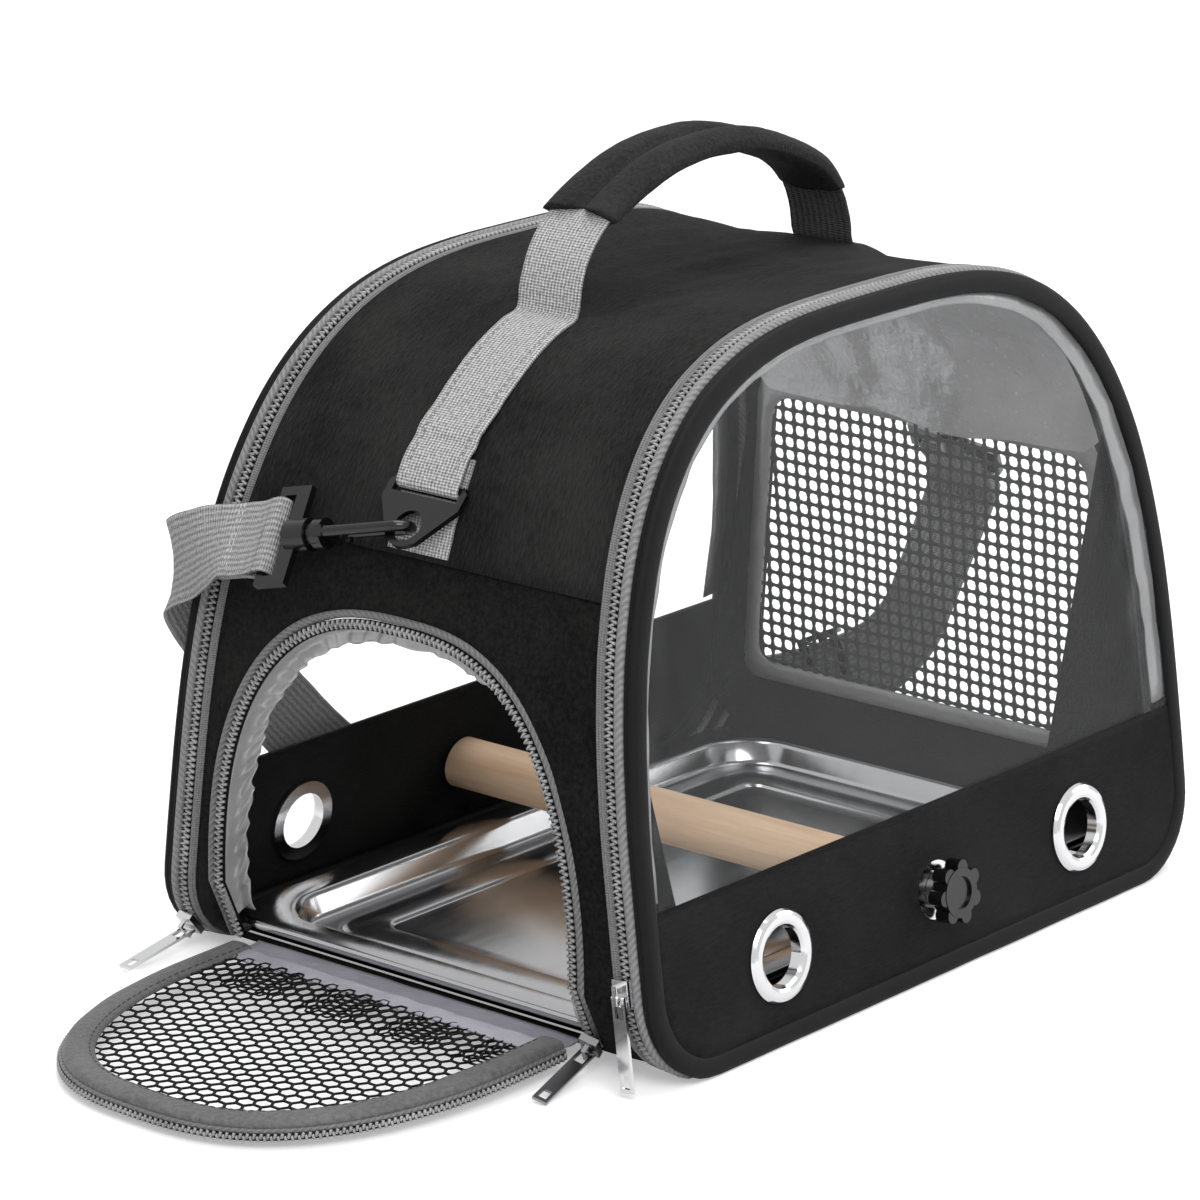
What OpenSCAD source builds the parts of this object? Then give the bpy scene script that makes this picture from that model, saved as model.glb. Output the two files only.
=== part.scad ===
// Soft bird travel carrier: an arched fabric shell with two clear unzipping arch panels, a mesh
// end, a drop-down mesh door, a steel tray, a clamped wooden perch, a carry handle and a strap.
// Millimetres. X runs along the arch panels, Y from the front arch to the back arch, Z up.
// The origin is the middle of the underside.

/* [Body] */
// Width across the two end walls
body_w = 400; // [340:5:440]
// Depth between the arch panels at the floor
body_d = 300; // [260:5:350]
// Height of the arches
body_h = 310; // [270:5:350]
// Inward tilt of both arch panels, in degrees
panel_lean = 7.1; // [0:0.1:9]
// Radius of the lower corners of the arches
corner_r = 41; // [34:1:50]
// Height where the sides of the arch begin to curve in
arch_start = 61; // [52:1:80]
// Thickness of the padded fabric walls
wall_t = 3; // [2:0.5:4]
// Height of the seams between the end walls and the roof
seam_z = 210; // [190:1:230]

/* [Arch panels] */
// Width of the black binding round each arch panel
rim_w = 9; // [7:0.5:12]
// Depth of that binding
rim_t = 6; // [5:0.5:8]
// Diameter of the hoop wire in the binding
hoop_d = 3; // [2:0.5:3.5]
// Thickness of the clear window sheets
window_t = 1; // [0.5:0.1:1.5]
// Height of the fabric band under each window
band_h = 79; // [70:1:95]
// Thickness of that band
band_t = 2; // [1.5:0.1:2.5]
// Width of the zip tape next to the binding
tape_w = 4.5; // [3:0.5:6]
// Width of the zip coil
coil_w = 5.5; // [4:0.5:7]
// Width of the piping between the zip and the walls
piping_w = 4.5; // [3:0.5:6]

/* [Grommets and perch] */
// Height of the grommets and the perch
perch_z = 40; // [36:1:46]
// Distance of each grommet from the middle of its panel
grommet_x = 112; // [95:1:125]
// Outer diameter of a grommet
grommet_d = 42; // [36:1:46]
// Diameter of the hole through a grommet
grommet_bore = 27; // [22:1:30]
// Diameter of the wooden perch
perch_d = 25; // [18:1:28]
// Diameter of the two perch studs
stud_d = 6; // [5:0.5:8]
// Diameter over the lobes of a star knob
knob_d = 30; // [26:1:36]
// Number of lobes on a star knob
knob_lobes = 7; // [5:1:8]
// Diameter of the bright washer behind each knob
washer_d = 27; // [24:1:30]

/* [Door] */
// Width of the door opening
door_w = 222; // [190:2:224]
// Height of the top of the door opening
door_top = 183; // [150:1:190]
// Height where the sides of the door opening begin to curve in
door_start = 40; // [34:1:60]
// Distance of the door's middle towards the back
door_y = 4; // [0:1:6]
// Height of the hinge seam at the bottom of the door
hinge_z = 10; // [9:0.5:12]
// Downward tilt of the open door, in degrees
door_tilt = 1; // [0:0.5:2]
// Width of the binding round the door
door_binding_w = 14; // [10:1:18]
// Gap between the closed door and the zip round the opening
door_gap = 1.5; // [1:0.5:3]
// Spacing of the holes in the door mesh
door_mesh_pitch = 12.4; // [12:0.1:16]
// Spacing of the holes in the mesh of the right end
end_mesh_pitch = 13; // [13:0.1:18]
// Width of the strands of both meshes
strand_w = 1.4; // [1:0.1:2]

/* [Tray] */
// Length of the tray over its rim
tray_l = 372; // [320:2:372]
// Width of the tray over its rim
tray_w = 240; // [200:2:250]
// Height of the tray
tray_h = 13; // [8:0.5:13]
// Width of the tray's flat rim
tray_rim = 14; // [10:1:18]
// Thickness of the tray's sheet
tray_t = 1; // [0.6:0.1:1.2]

/* [Handle and straps] */
// Width of the handle webbing
web_w = 35; // [30:1:40]
// Thickness of all webbing
web_t = 1.4; // [1:0.1:2]
// Height of the handle's crest above the top of the arches
handle_rise = 51.5; // [40:0.5:70]
// Distance of each handle end from the middle
handle_x = 98; // [85:1:110]
// Width of the padded handle wrap
grip_w = 41; // [38:1:50]
// Thickness of the padded handle wrap
grip_t = 14; // [10:1:18]
// Width of the shoulder strap
strap_w = 38; // [36:0.5:38]
// Thickness of the shoulder strap
strap_t = 1.6; // [1.2:0.1:2]

/* [Zip pulls] */
// Length of a zip pull from its pivot
pull_l = 42; // [36:1:44]
// Width of a zip pull
pull_w = 7; // [6:0.5:8]

/* [Hidden] */

fit_gap = 0.1;      // between pieces that are sewn face to face
seat_gap = 0.3;     // between soft pieces that only rest on each other
run_gap = 0.06;     // radial clearance of a turning fit
slop = 40;          // how far cutting shapes run past what they cut
corner_steps = 5;
arch_steps = 16;
arch_side_power = 3.25;
arch_top_power = 2.8;
door_steps = 11;
door_side_power = 2.7;
door_top_power = 2.2;
lean_tan = tan(panel_lean);
zip_depth = rim_t + tape_w + coil_w + piping_w;
black = "#26262a";
grey = "#85868a";
pale = "#b9bac0";
steel = "#c9ccd0";

// ---------- the arch and its layers ----------

// Half of the arch outline, inset by t, from the middle of the floor to the crown
function arch_half(t) = concat(
    [for (i = [0:corner_steps]) let (a = -90 + 90 * i / corner_steps)
        [body_w / 2 - corner_r + (corner_r - t) * cos(a), corner_r + (corner_r - t) * sin(a)]],
    [for (i = [0:arch_steps]) arch_point(90 * i / arch_steps, t)]
);
function arch_point(a, t) = [
    (body_w / 2 - t) * pow(cos(a), 2 / arch_side_power),
    arch_start + (body_h - t - arch_start) * pow(sin(a), 2 / arch_top_power)
];
function arch_outline(t) = let (h = arch_half(t))
    concat(h, [for (i = [len(h) - 2:-1:0]) [-h[i][0], h[i][1]]]);

// Half width of the arch at height z, and the angle of arch_point there
function arch_angle(z) = asin(pow((z - arch_start) / (body_h - arch_start), arch_top_power / 2));
function arch_x(z) = z > arch_start ? arch_point(arch_angle(z), 0)[0]
    : z > corner_r ? body_w / 2
    : body_w / 2 - corner_r + sqrt(pow(corner_r, 2) - pow(corner_r - z, 2));
// Angle of the wall from upright at height z
function wall_tilt(z) = atan((arch_x(z - 8) - arch_x(z + 8)) / 16);

// Where the outer face of the front arch panel lies at height z
function front_y(z) = -body_d / 2 + z * lean_tan;

module arch_prism(t) {
    rotate([90, 0, 0])
        linear_extrude(body_d + 2 * slop, center = true)
            polygon(arch_outline(t));
}

module arch_ring(t0, t1) {
    rotate([90, 0, 0])
        linear_extrude(body_d + 2 * slop, center = true)
            difference() {
                polygon(arch_outline(t0));
                polygon(arch_outline(t1));
            }
}

// A wedge of space between two planes parallel to the front arch panel
module front_slab(d0, d1) {
    lo = -slop;
    hi = body_h + slop;
    rotate([90, 0, 90])
        linear_extrude(body_w + 2 * slop, center = true)
            polygon([
                [front_y(lo) + d0, lo], [front_y(lo) + d1, lo],
                [front_y(hi) + d1, hi], [front_y(hi) + d0, hi]
            ]);
}

// The space between the front and back planes that lie d inside the arch panels
module middle_slab(d) {
    lo = -slop;
    hi = body_h + slop;
    rotate([90, 0, 90])
        linear_extrude(body_w + 2 * slop, center = true)
            polygon([
                [front_y(lo) + d, lo], [-front_y(lo) - d, lo],
                [-front_y(hi) - d, hi], [front_y(hi) + d, hi]
            ]);
}

module box(lo, hi) {
    translate(lo)
        cube(hi - lo);
}

module above(z) {
    box([-body_w, -body_d, z], [body_w, body_d, body_h * 2]);
}

module below(z) {
    box([-body_w, -body_d, -slop], [body_w, body_d, z]);
}

// Puts children on the front arch panel: local Z is its outward normal, local Y runs up it
module on_front(x, z) {
    translate([x, front_y(z), z])
        rotate([90 - panel_lean, 0, 0])
            children();
}

module at_back() {
    mirror([0, 1, 0])
        children();
}

// ---------- fabric shell ----------

module bottom_panel() {
    color(black)
        intersection() {
            middle_slab(rim_t + fit_gap);
            box([-body_w / 2 + corner_r + fit_gap, -body_d, 0],
                [body_w / 2 - corner_r - fit_gap, body_d, wall_t]);
        }
}

module base_board() {
    color("#4a4a4d")
        box([-body_w / 2 + corner_r + 9, -body_d / 2 + 18, wall_t + seat_gap],
            [body_w / 2 - corner_r - 9, body_d / 2 - 18, wall_t + seat_gap + board_t]);
}
board_t = 2.5;

module shell_part(t0, t1) {
    intersection() {
        arch_ring(t0, t1);
        middle_slab(zip_depth + fit_gap);
        children();
    }
}

module left_end_wall() {
    color(black)
        difference() {
            shell_part(0, wall_t)
                box([-body_w, -body_d, -slop], [-body_w / 2 + corner_r, body_d, seam_z - fit_gap]);
            door_prism(0, hinge_z);
        }
}

module roof_panel() {
    color(black)
        shell_part(0, wall_t)
            above(seam_z);
}

module right_end_wall() {
    color(black)
        difference() {
            shell_part(0, wall_t)
                box([body_w / 2 - corner_r, -body_d, -slop], [body_w, body_d, seam_z - fit_gap]);
            end_window_prism(0);
        }
}

module roof_lining() {
    color(pale)
        shell_part(wall_t + fit_gap, wall_t + fit_gap + lining_t)
            above(seam_z - 6);
}
lining_t = 1.2;

// ---------- arch panels ----------

module rim() {
    color(black)
        difference() {
            intersection() {
                arch_ring(0, rim_w);
                front_slab(0, rim_t);
            }
            intersection() {
                arch_ring(hoop_inset - fit_gap, hoop_inset + hoop_d + fit_gap);
                front_slab(hoop_depth - fit_gap, hoop_depth + hoop_d + fit_gap);
            }
        }
}
hoop_inset = (rim_w - hoop_d) / 2;
hoop_depth = (rim_t - hoop_d) / 2;

module hoop_wire() {
    color(steel)
        intersection() {
            arch_ring(hoop_inset, hoop_inset + hoop_d);
            front_slab(hoop_depth, hoop_depth + hoop_d);
        }
}

module window() {
    color([0.85, 0.88, 0.9, 0.35])
        intersection() {
            arch_prism(rim_w + fit_gap);
            front_slab(panel_depth, panel_depth + window_t);
            above(band_h + fit_gap);
        }
}
panel_depth = 1.5;

module band() {
    color(black)
        difference() {
            intersection() {
                arch_prism(rim_w + fit_gap);
                front_slab(panel_depth, panel_depth + band_t);
                below(band_h);
            }
            for (side = [-1, 1])
                on_front(side * grommet_x, perch_z)
                    cylinder(d = barrel_d + 2 * fit_gap, h = slop, center = true, $fn = 64);
            on_front(0, perch_z)
                cylinder(d = stud_d + 1, h = slop, center = true, $fn = 48);
        }
}
barrel_d = grommet_bore + 3;
band_out = panel_depth * cos(panel_lean);             // band faces, square to the panel
band_in = (panel_depth + band_t) * cos(panel_lean);

// A two-part eyelet: domed face outside, barrel through the band, flat ring inside
module grommet() {
    r0 = grommet_bore / 2;
    r1 = grommet_d / 2;
    rb = barrel_d / 2;
    rotate_extrude($fn = 96)
        polygon([
            [r0, -band_in - 2.2], [rb + 4.5, -band_in - 2.2], [rb + 4.5, -band_in - seat_gap],
            [rb, -band_in - seat_gap], [rb, -band_out + seat_gap], [r1, -band_out + seat_gap],
            [r1, -band_out + 1.1], [r1 - 1, 0.9], [r1 - 2.6, 1.6], [r0 + 2.2, 1.6],
            [r0 + 0.8, 1], [r0, -0.4]
        ]);
}

module grommets() {
    color(steel)
        for (side = [-1, 1])
            on_front(side * grommet_x, perch_z)
                grommet();
}

// Zip layers run up both sides and over the top, and stop above the floor
module zip_layer(d0, d1, t0, t1) {
    intersection() {
        difference() {
            arch_ring(t0, t1);
            box([-body_w / 2 + corner_r, -body_d, -slop], [body_w / 2 - corner_r, body_d, slop]);
            below(0.2);
        }
        front_slab(d0, d1);
    }
}

module zip_tape() {
    color(grey)
        zip_layer(rim_t + fit_gap, rim_t + tape_w, -0.6, 3);
}

module zip_coil() {
    color("#55565a")
        zip_layer(rim_t + tape_w + fit_gap, rim_t + tape_w + coil_w, -coil_proud, 2.4);
}
coil_proud = 1;

module piping() {
    color(grey)
        zip_layer(rim_t + tape_w + coil_w + fit_gap, zip_depth, -piping_proud, 3);
}
piping_proud = 1.4;

// ---------- zip sliders and pulls ----------
// Local frame: origin on the zip's surface, Z outwards, Y along the zip, the pull's pivot is X

slider_w = 8.5;
slider_l = 12;
slider_t = 3.2;
slider_lift = piping_proud + seat_gap;
bridge_w = 2;
bridge_h = 4.2;
bridge_y = 4.4;
pivot_r = 0.9;
pivot_y = -1.6;
pivot_h = slider_lift + slider_t + pivot_r + 0.5;

module zip_slider() {
    color(steel) {
        translate([-slider_w / 2, -slider_l / 2, slider_lift])
            cube([slider_w, slider_l, slider_t]);
        translate([0, 0, slider_lift + slider_t])
            difference() {
                translate([-bridge_w / 2, -bridge_y, -0.5])
                    cube([bridge_w, 2 * bridge_y, bridge_h + 0.5]);
                translate([-bridge_w, -bridge_y + 1.1, -0.1])
                    cube([2 * bridge_w, 2 * bridge_y - 2.2, bridge_h - 1]);
                translate([-bridge_w, -bridge_y + 1.1, -1])
                    cube([2 * bridge_w, 2 * bridge_y - 2.2, 1]);
            }
    }
}

// The pull hangs along -Y at angle 0
module zip_pull() {
    arm = 1.2;
    color(steel)
        translate([0, pivot_y, pivot_h]) {
            rotate([0, 90, 0])
                cylinder(r = pivot_r, h = pull_w, center = true, $fn = 32);
            difference() {
                translate([-pull_w / 2, -pull_l, -pull_t / 2])
                    cube([pull_w, pull_l, pull_t]);
                translate([-pull_w / 2 + arm, -pull_loop, -pull_t])
                    cube([pull_w - 2 * arm, pull_loop + 1, 2 * pull_t]);
                translate([-pull_w / 2 + 1.5, -pull_l + 2, -pull_t])
                    cube([pull_w - 3, 6, 2 * pull_t]);
            }
        }
}
pull_t = 1.4;
pull_loop = 9;

// A zip slider's place on the left end: on the round corner at an angle below level
module on_left_corner(angle, y, turn) {
    translate([-body_w / 2 + corner_r, y, corner_r])
        rotate([0, -90 - angle, 0])
            translate([0, 0, corner_r])
                rotate([0, 0, turn - 90])
                    children();
}

// A zip slider's place on the upright part of the left end, above the corner
module on_left_side(z, y) {
    translate([-body_w / 2, y, z])
        rotate([-panel_lean, 0, 0])
            rotate([0, -90, 0])
                rotate([0, 0, -90])
                    children();
}

front_slider_z = 46;
back_slider_angle = 40;
door_slider_angle = 40;
door_slider_turn = -20;
zip_centre = rim_t + tape_w + coil_w / 2;
front_slider_y = front_y(front_slider_z) + zip_centre;
corner_zip_z = corner_r - corner_r * sin(back_slider_angle);
back_slider_y = -front_y(corner_zip_z) - zip_centre;
door_slider_y = door_y - door_w / 2 + 2.5;

module front_zip_slider() {
    on_left_side(front_slider_z, front_slider_y)
        zip_slider();
}

module front_zip_pull() {
    on_left_side(front_slider_z, front_slider_y)
        zip_pull();
}

module back_zip_slider() {
    on_left_corner(back_slider_angle, back_slider_y, 0)
        zip_slider();
}

// Both corner pulls are swung out until their tips lie just over the floor
module swung(angle) {
    translate([0, pivot_y, pivot_h])
        rotate([angle, 0, 0])
            translate([0, -pivot_y, -pivot_h])
                children();
}
corner_pivot_z = corner_r - (corner_r + pivot_h) * sin(back_slider_angle)
    + pivot_y * cos(back_slider_angle);
pull_drop = asin((corner_pivot_z - 2.6) / pull_l);
pull_swing = 90 + back_slider_angle - pull_drop;

module back_zip_pull() {
    on_left_corner(back_slider_angle, back_slider_y, 0)
        swung(-pull_swing)
            zip_pull();
}

module door_zip_slider() {
    on_left_corner(door_slider_angle, door_slider_y, door_slider_turn)
        zip_slider();
}

module door_zip_pull() {
    on_left_corner(door_slider_angle, door_slider_y, door_slider_turn)
        swung(-pull_swing)
            zip_pull();
}

// ---------- door ----------

function door_half(t, low) = concat(
    [[door_w / 2 - t, low]],
    [for (i = [0:door_steps]) let (a = 90 * i / door_steps) [
        (door_w / 2 - t) * pow(cos(a), 2 / door_side_power),
        door_start + (door_top - t - door_start) * pow(sin(a), 2 / door_top_power)
    ]]
);
function door_outline(t, low) = let (h = door_half(t, low))
    concat(h, [for (i = [len(h) - 2:-1:0]) [-h[i][0], h[i][1]]]);

// A prism along X through the left end wall, with the door's outline inset by t
module door_prism(t, low) {
    translate([-body_w / 2 - slop, door_y, 0])
        rotate([90, 0, 90])
            linear_extrude(2 * slop)
                polygon(door_outline(t, low));
}

// A band of the left end wall that follows the door's edge
module door_edge(t0, t1, d0, d1, low) {
    intersection() {
        arch_ring(d0, d1);
        difference() {
            door_prism(t0, low);
            door_prism(t1, low - slop);
        }
    }
}

door_piping_w = 4;
door_coil_w = 4;
flap_inset = door_piping_w + door_coil_w + door_gap;
hinge_x = -body_w / 2 + 1;

module door_piping() {
    color(grey)
        door_edge(fit_gap, door_piping_w, -piping_proud, wall_t, hinge_z + 1);
}

module door_frame_coil() {
    color("#55565a")
        door_edge(door_piping_w + fit_gap, door_piping_w + door_coil_w, -1, 1.6, hinge_z + 1);
}

// The lining turns in round the opening and ends in a loose flange that the door closes on
module door_lining() {
    color(pale) {
        door_edge(door_piping_w, door_piping_w + 1.2, wall_t + fit_gap, flange_in, lining_low);
        door_edge(door_piping_w, door_piping_w + 15, flange_in - 0.1, flange_in + 1.1, lining_low);
    }
}
flange_in = 10;
lining_low = 28;

// The fabric fold that the door hangs on, sewn to the bottom of the left end wall
module door_hinge_strip() {
    half = door_w / 2 - flap_inset - 6;
    color(pale)
        translate([0, door_y, 0])
            box([hinge_x + 0.4, -half, hinge_z - 2.2],
                [-arch_x(hinge_z - 0.8) - seat_gap, half, hinge_z - 0.8]);
}

// Door frame: X runs from the hinge to the tip of the door, Z is the face that turns inwards
module in_door() {
    translate([hinge_x, door_y, hinge_z])
        rotate([0, -door_tilt, 0])
            mirror([1, 0, 0])
                children();
}

function flap_outline(t, low) = [
    for (p = door_outline(flap_inset + t, low + hinge_z)) [p[1] - hinge_z, p[0]]
];

module flap_layer(t0, t1, z0, z1) {
    in_door()
        translate([0, 0, z0])
            linear_extrude(z1 - z0)
                difference() {
                    polygon(flap_outline(t0, flap_start));
                    polygon(flap_outline(t1, -slop));
                }
}
flap_start = 0.5;
flap_face = 4;

module door_binding() {
    color(grey)
        difference() {
            flap_layer(3, 3 + door_binding_w, -1, flap_face);
            flap_layer(3 + door_binding_w - mesh_tuck, 200, 0.9, 2.1);
        }
}
mesh_tuck = 5;

module door_flap_coil() {
    color("#55565a")
        flap_layer(0, 5.5, -4, -1 - fit_gap);
}

// Six-sided holes on a staggered grid, kept where each lies inside the given outline
function hexagon(c, r) = [for (k = [0:5]) c + r * [cos(60 * k + 30), sin(60 * k + 30)]];
function inside_flap(p, margin) =
    let (
        a = door_w / 2 - flap_inset - margin,
        b = door_top - flap_inset - margin - door_start,
        u = max(0, p[0] + hinge_z - door_start) / b
    )
    p[0] > hem_w + margin - mesh_edge && pow(abs(p[1]) / a, door_side_power) + pow(u, door_top_power) < 1;
mesh_edge = 3 + door_binding_w;
hem_w = 12;

module door_mesh() {
    step = door_mesh_pitch;
    row = step * 0.72;
    reach = door_w / 2;
    hole_r = (step - strand_w) / 2 / cos(30);
    inner = flap_outline(mesh_edge - mesh_tuck + fit_gap, hem_w + fit_gap);
    holes = [
        for (i = [0:floor(door_top / row)])
            for (j = [-floor(reach / step):floor(reach / step)])
                let (c = [hem_w + (i + 0.6) * row, (j + (i % 2) / 2) * step])
                    if (inside_flap(c, mesh_edge + hole_r * 0.55))
                        [for (p = hexagon([0, 0], hole_r)) c + [p[1] * 0.84, p[0]]]
    ];
    echo(door_mesh_gaps = len(holes));
    color("#1c1c1e")
        in_door()
            translate([0, 0, 1])
                linear_extrude(1)
                    net(inner, holes);
}

// A flat sheet with the given holes
module net(outline, holes) {
    n = len(outline);
    k = len(holes) > 0 ? len(holes[0]) : 0;
    polygon(
        points = concat(outline, [for (h = holes) for (p = h) p]),
        paths = concat(
            [[for (i = [0:n - 1]) i]],
            [for (h = [0:len(holes) - 1]) [for (i = [0:k - 1]) n + h * k + i]]
        )
    );
}

// The doubled strip of lining between the hinge and the mesh
module door_mesh_hem() {
    half = door_w / 2 - flap_inset - mesh_edge - fit_gap;
    color(pale)
        in_door()
            box([flap_start, -half, 0.6], [hem_w, half, 2.4]);
}

// ---------- mesh end wall ----------

end_mesh_low = 48;
end_mesh_high = seam_z - 12;
end_mesh_side = 8;

function end_window(t) = [
    [front_y(end_mesh_low) + zip_depth + end_mesh_side + t, end_mesh_low + t],
    [-front_y(end_mesh_low) - zip_depth - end_mesh_side - t, end_mesh_low + t],
    [-front_y(end_mesh_high) - zip_depth - end_mesh_side - t, end_mesh_high - t],
    [front_y(end_mesh_high) + zip_depth + end_mesh_side + t, end_mesh_high - t]
];

module end_window_prism(t) {
    translate([body_w / 2 - slop, 0, 0])
        rotate([90, 0, 90])
            linear_extrude(2 * slop)
                polygon(end_window(t));
}

// The mesh lies flat on the chord of the curved wall, just inside it
end_chord = atan((arch_x(end_mesh_low) - arch_x(end_mesh_high)) / (end_mesh_high - end_mesh_low));

end_mesh_in = 4.2;     // depth of the flat binding behind the curved wall

module in_end_mesh(inset) {
    translate([arch_x(end_mesh_low) - wall_t - inset, 0, end_mesh_low])
        rotate([0, -end_chord, 0])
            rotate([90, 0, 90])
                children();
}

module end_mesh_binding() {
    wide = [for (p = end_window(-end_mesh_side + 2)) [p[0], p[1] - end_mesh_low]];
    slim = [for (p = end_window(4)) [p[0], p[1] - end_mesh_low]];
    color(grey)
        in_end_mesh(end_mesh_in)
            linear_extrude(2)
                difference() {
                    polygon(wide);
                    polygon(slim);
                }
}

module end_mesh() {
    pitch = end_mesh_pitch;
    sheet = [for (p = end_window(-2)) [p[0], p[1] - end_mesh_low]];
    half_low = -front_y(end_mesh_low) - zip_depth - end_mesh_side - 4;
    tall = end_mesh_high - end_mesh_low;
    cut = pitch - strand_w;
    holes = [
        for (i = [0:floor(tall / pitch) - 1])
            for (j = [-14:13])
                let (
                    c = [(j + 0.5) * pitch, 2 + (i + 0.5) * pitch],
                    edge = half_low - (c[1] + pitch / 2) * lean_tan
                )
                    if (abs(c[0]) + pitch / 2 < edge)
                        [for (s = [[-1, -1], [1, -1], [1, 1], [-1, 1]]) c + s * cut / 2]
    ];
    echo(end_mesh_gaps = len(holes));
    color("#1c1c1e")
        in_end_mesh(end_mesh_in + 1.2)
            linear_extrude(0.9)
                net(sheet, holes);
}

// ---------- tray ----------

module rounded_plate(l, w, r, h) {
    linear_extrude(h)
        union() {
            square([l - 2 * r, w], center = true);
            square([l, w - 2 * r], center = true);
            for (x = [-1, 1], y = [-1, 1])
                translate([x * (l / 2 - r), y * (w / 2 - r)])
                    circle(r, $fn = 48);
        }
}

module steel_tray() {
    well_l = tray_l - 2 * tray_rim;
    well_w = tray_w - 2 * tray_rim;
    low = wall_t + 2 * seat_gap + board_t;
    color(steel)
        translate([0, 0, low])
            difference() {
                union() {
                    translate([0, 0, tray_h - tray_t])
                        rounded_plate(tray_l, tray_w, 24, tray_t);
                    rounded_plate(well_l, well_w, 30, tray_h - tray_t / 2);
                }
                translate([0, 0, tray_t])
                    rounded_plate(well_l - 2 * tray_t, well_w - 2 * tray_t, 30 - tray_t, tray_h);
            }
}

// ---------- perch ----------

stud_grip = 16;      // how far a stud reaches into the perch
stud_out = 11.5;     // how far it stands out of the panel, inside the knob

module perch_dowel() {
    color("#d9ab78")
        difference() {
            intersection() {
                translate([0, 0, perch_z])
                    rotate([90, 0, 0])
                        cylinder(d = perch_d, h = body_d, center = true, $fn = 72);
                middle_slab(dowel_depth);
            }
            on_front(0, perch_z)
                translate([0, 0, -slop])
                    cylinder(r = stud_d / 2 + fit_gap, h = slop, $fn = 48);
            at_back()
                on_front(0, perch_z)
                    translate([0, 0, -slop])
                        cylinder(r = stud_d / 2 + fit_gap, h = slop, $fn = 48);
        }
}
inner_washer_t = 1.6;
dowel_depth = panel_depth + band_t + (inner_washer_t + 2 * fit_gap) / cos(panel_lean) + fit_gap;

module both_panels() {
    children();
    at_back()
        children();
}

module perch_studs() {
    color(steel)
        both_panels()
            on_front(0, perch_z)
                translate([0, 0, -band_in - inner_washer_t - stud_grip])
                    cylinder(d = stud_d, h = inner_washer_t + stud_grip + band_in + stud_out, $fn = 48);
}

module plain_washer(d, t) {
    difference() {
        cylinder(d = d, h = t, $fn = 64);
        translate([0, 0, -1])
            cylinder(r = stud_d / 2 + fit_gap, h = t + 2, $fn = 48);
    }
}

module perch_washers() {
    color("#1c1c1e")
        both_panels()
            on_front(0, perch_z)
                translate([0, 0, -band_in - inner_washer_t - fit_gap])
                    plain_washer(perch_d - 3, inner_washer_t);
}

outer_washer_t = 1.4;

module knob_washers() {
    color(steel)
        both_panels()
            on_front(0, perch_z)
                translate([0, 0, -band_out + fit_gap])
                    plain_washer(washer_d, outer_washer_t);
}

knob_hub_d = 17;       // hub that seats on the bright washer
knob_hub_t = 6;        // height of the hub below the star
knob_star_t = 8;       // thickness of the star
knob_dish_d = 15;      // dish in the star's outer face
knob_dish_t = 1.4;     // its depth
knob_bore_t = 12;      // depth of the threaded bore
knob_round = 0.3;      // how far the lobes lie below the star's two faces

module knob() {
    base = -band_out + outer_washer_t + 3 * fit_gap;
    lobe_r = knob_d / 2 * 0.24;
    ring_r = knob_d / 2 - lobe_r;
    color("#1f1f21")
        on_front(0, perch_z)
            translate([0, 0, base])
                difference() {
                    union() {
                        cylinder(d = knob_hub_d, h = knob_hub_t + 1, $fn = 64);
                        translate([0, 0, knob_hub_t])
                            cylinder(r = ring_r, h = knob_star_t, $fn = 64);
                        for (i = [0:knob_lobes - 1])
                            rotate([0, 0, 360 * (i + 0.5) / knob_lobes])
                                translate([ring_r, 0, knob_hub_t + knob_round])
                                    cylinder(r = lobe_r, h = knob_star_t - 2 * knob_round, $fn = 32);
                    }
                    translate([0, 0, knob_hub_t + knob_star_t - knob_dish_t])
                        cylinder(d = knob_dish_d, h = slop, $fn = 48);
                    translate([0, 0, -1])
                        cylinder(r = stud_d / 2 + run_gap, h = knob_bore_t + 1, $fn = 48);
                }
}

// ---------- handle ----------

// A strip of even thickness along a path of [x, z] points, from offset lo to offset hi
function path_dir(p, i) = let (a = p[max(0, i - 1)], b = p[min(len(p) - 1, i + 1)]) (b - a) / norm(b - a);
function path_side(p, i) = let (d = path_dir(p, i)) [-d[1], d[0]];
function strip(p, lo, hi) = concat(
    [for (i = [0:len(p) - 1]) p[i] + hi * path_side(p, i)],
    [for (i = [len(p) - 1:-1:0]) p[i] + lo * path_side(p, i)]
);
function mirrored(p) = [for (i = [len(p) - 1:-1:0]) [-p[i][0], p[i][1]]];

module strip_solid(p, lo, hi, w) {
    rotate([90, 0, 0])
        linear_extrude(w, center = true)
            polygon(strip(p, lo, hi));
}

web_lift = seat_gap + web_t / 2;    // how far the middle of sewn webbing lies off the wall
ring_z = 238;                       // height of the wall behind the ring's upper bar
ring_bar = 3;                       // section of the ring's bars
ring_standoff = web_t + 2 * seat_gap + ring_bar / 2 + 0.2;
ring_flare = [16, 12];              // how far each ring hangs out from the wall, left and right

// A point on the right end, v up the wall from the ring's bar and w off the wall
function at_ring(v, w) = let (a = wall_tilt(ring_z))
    [arch_x(ring_z) + w * cos(a) - v * sin(a), ring_z + w * sin(a) + v * cos(a)];

crest_z = body_h + handle_rise;
handle_half = [
    [handle_x - 2, crest_z - 47.5], [handle_x - 8, crest_z - 33.5],
    [handle_x - 21, crest_z - 20.5], [handle_x * 0.53, crest_z - 9],
    [handle_x * 0.27, crest_z - 2], [0, crest_z]
];

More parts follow.
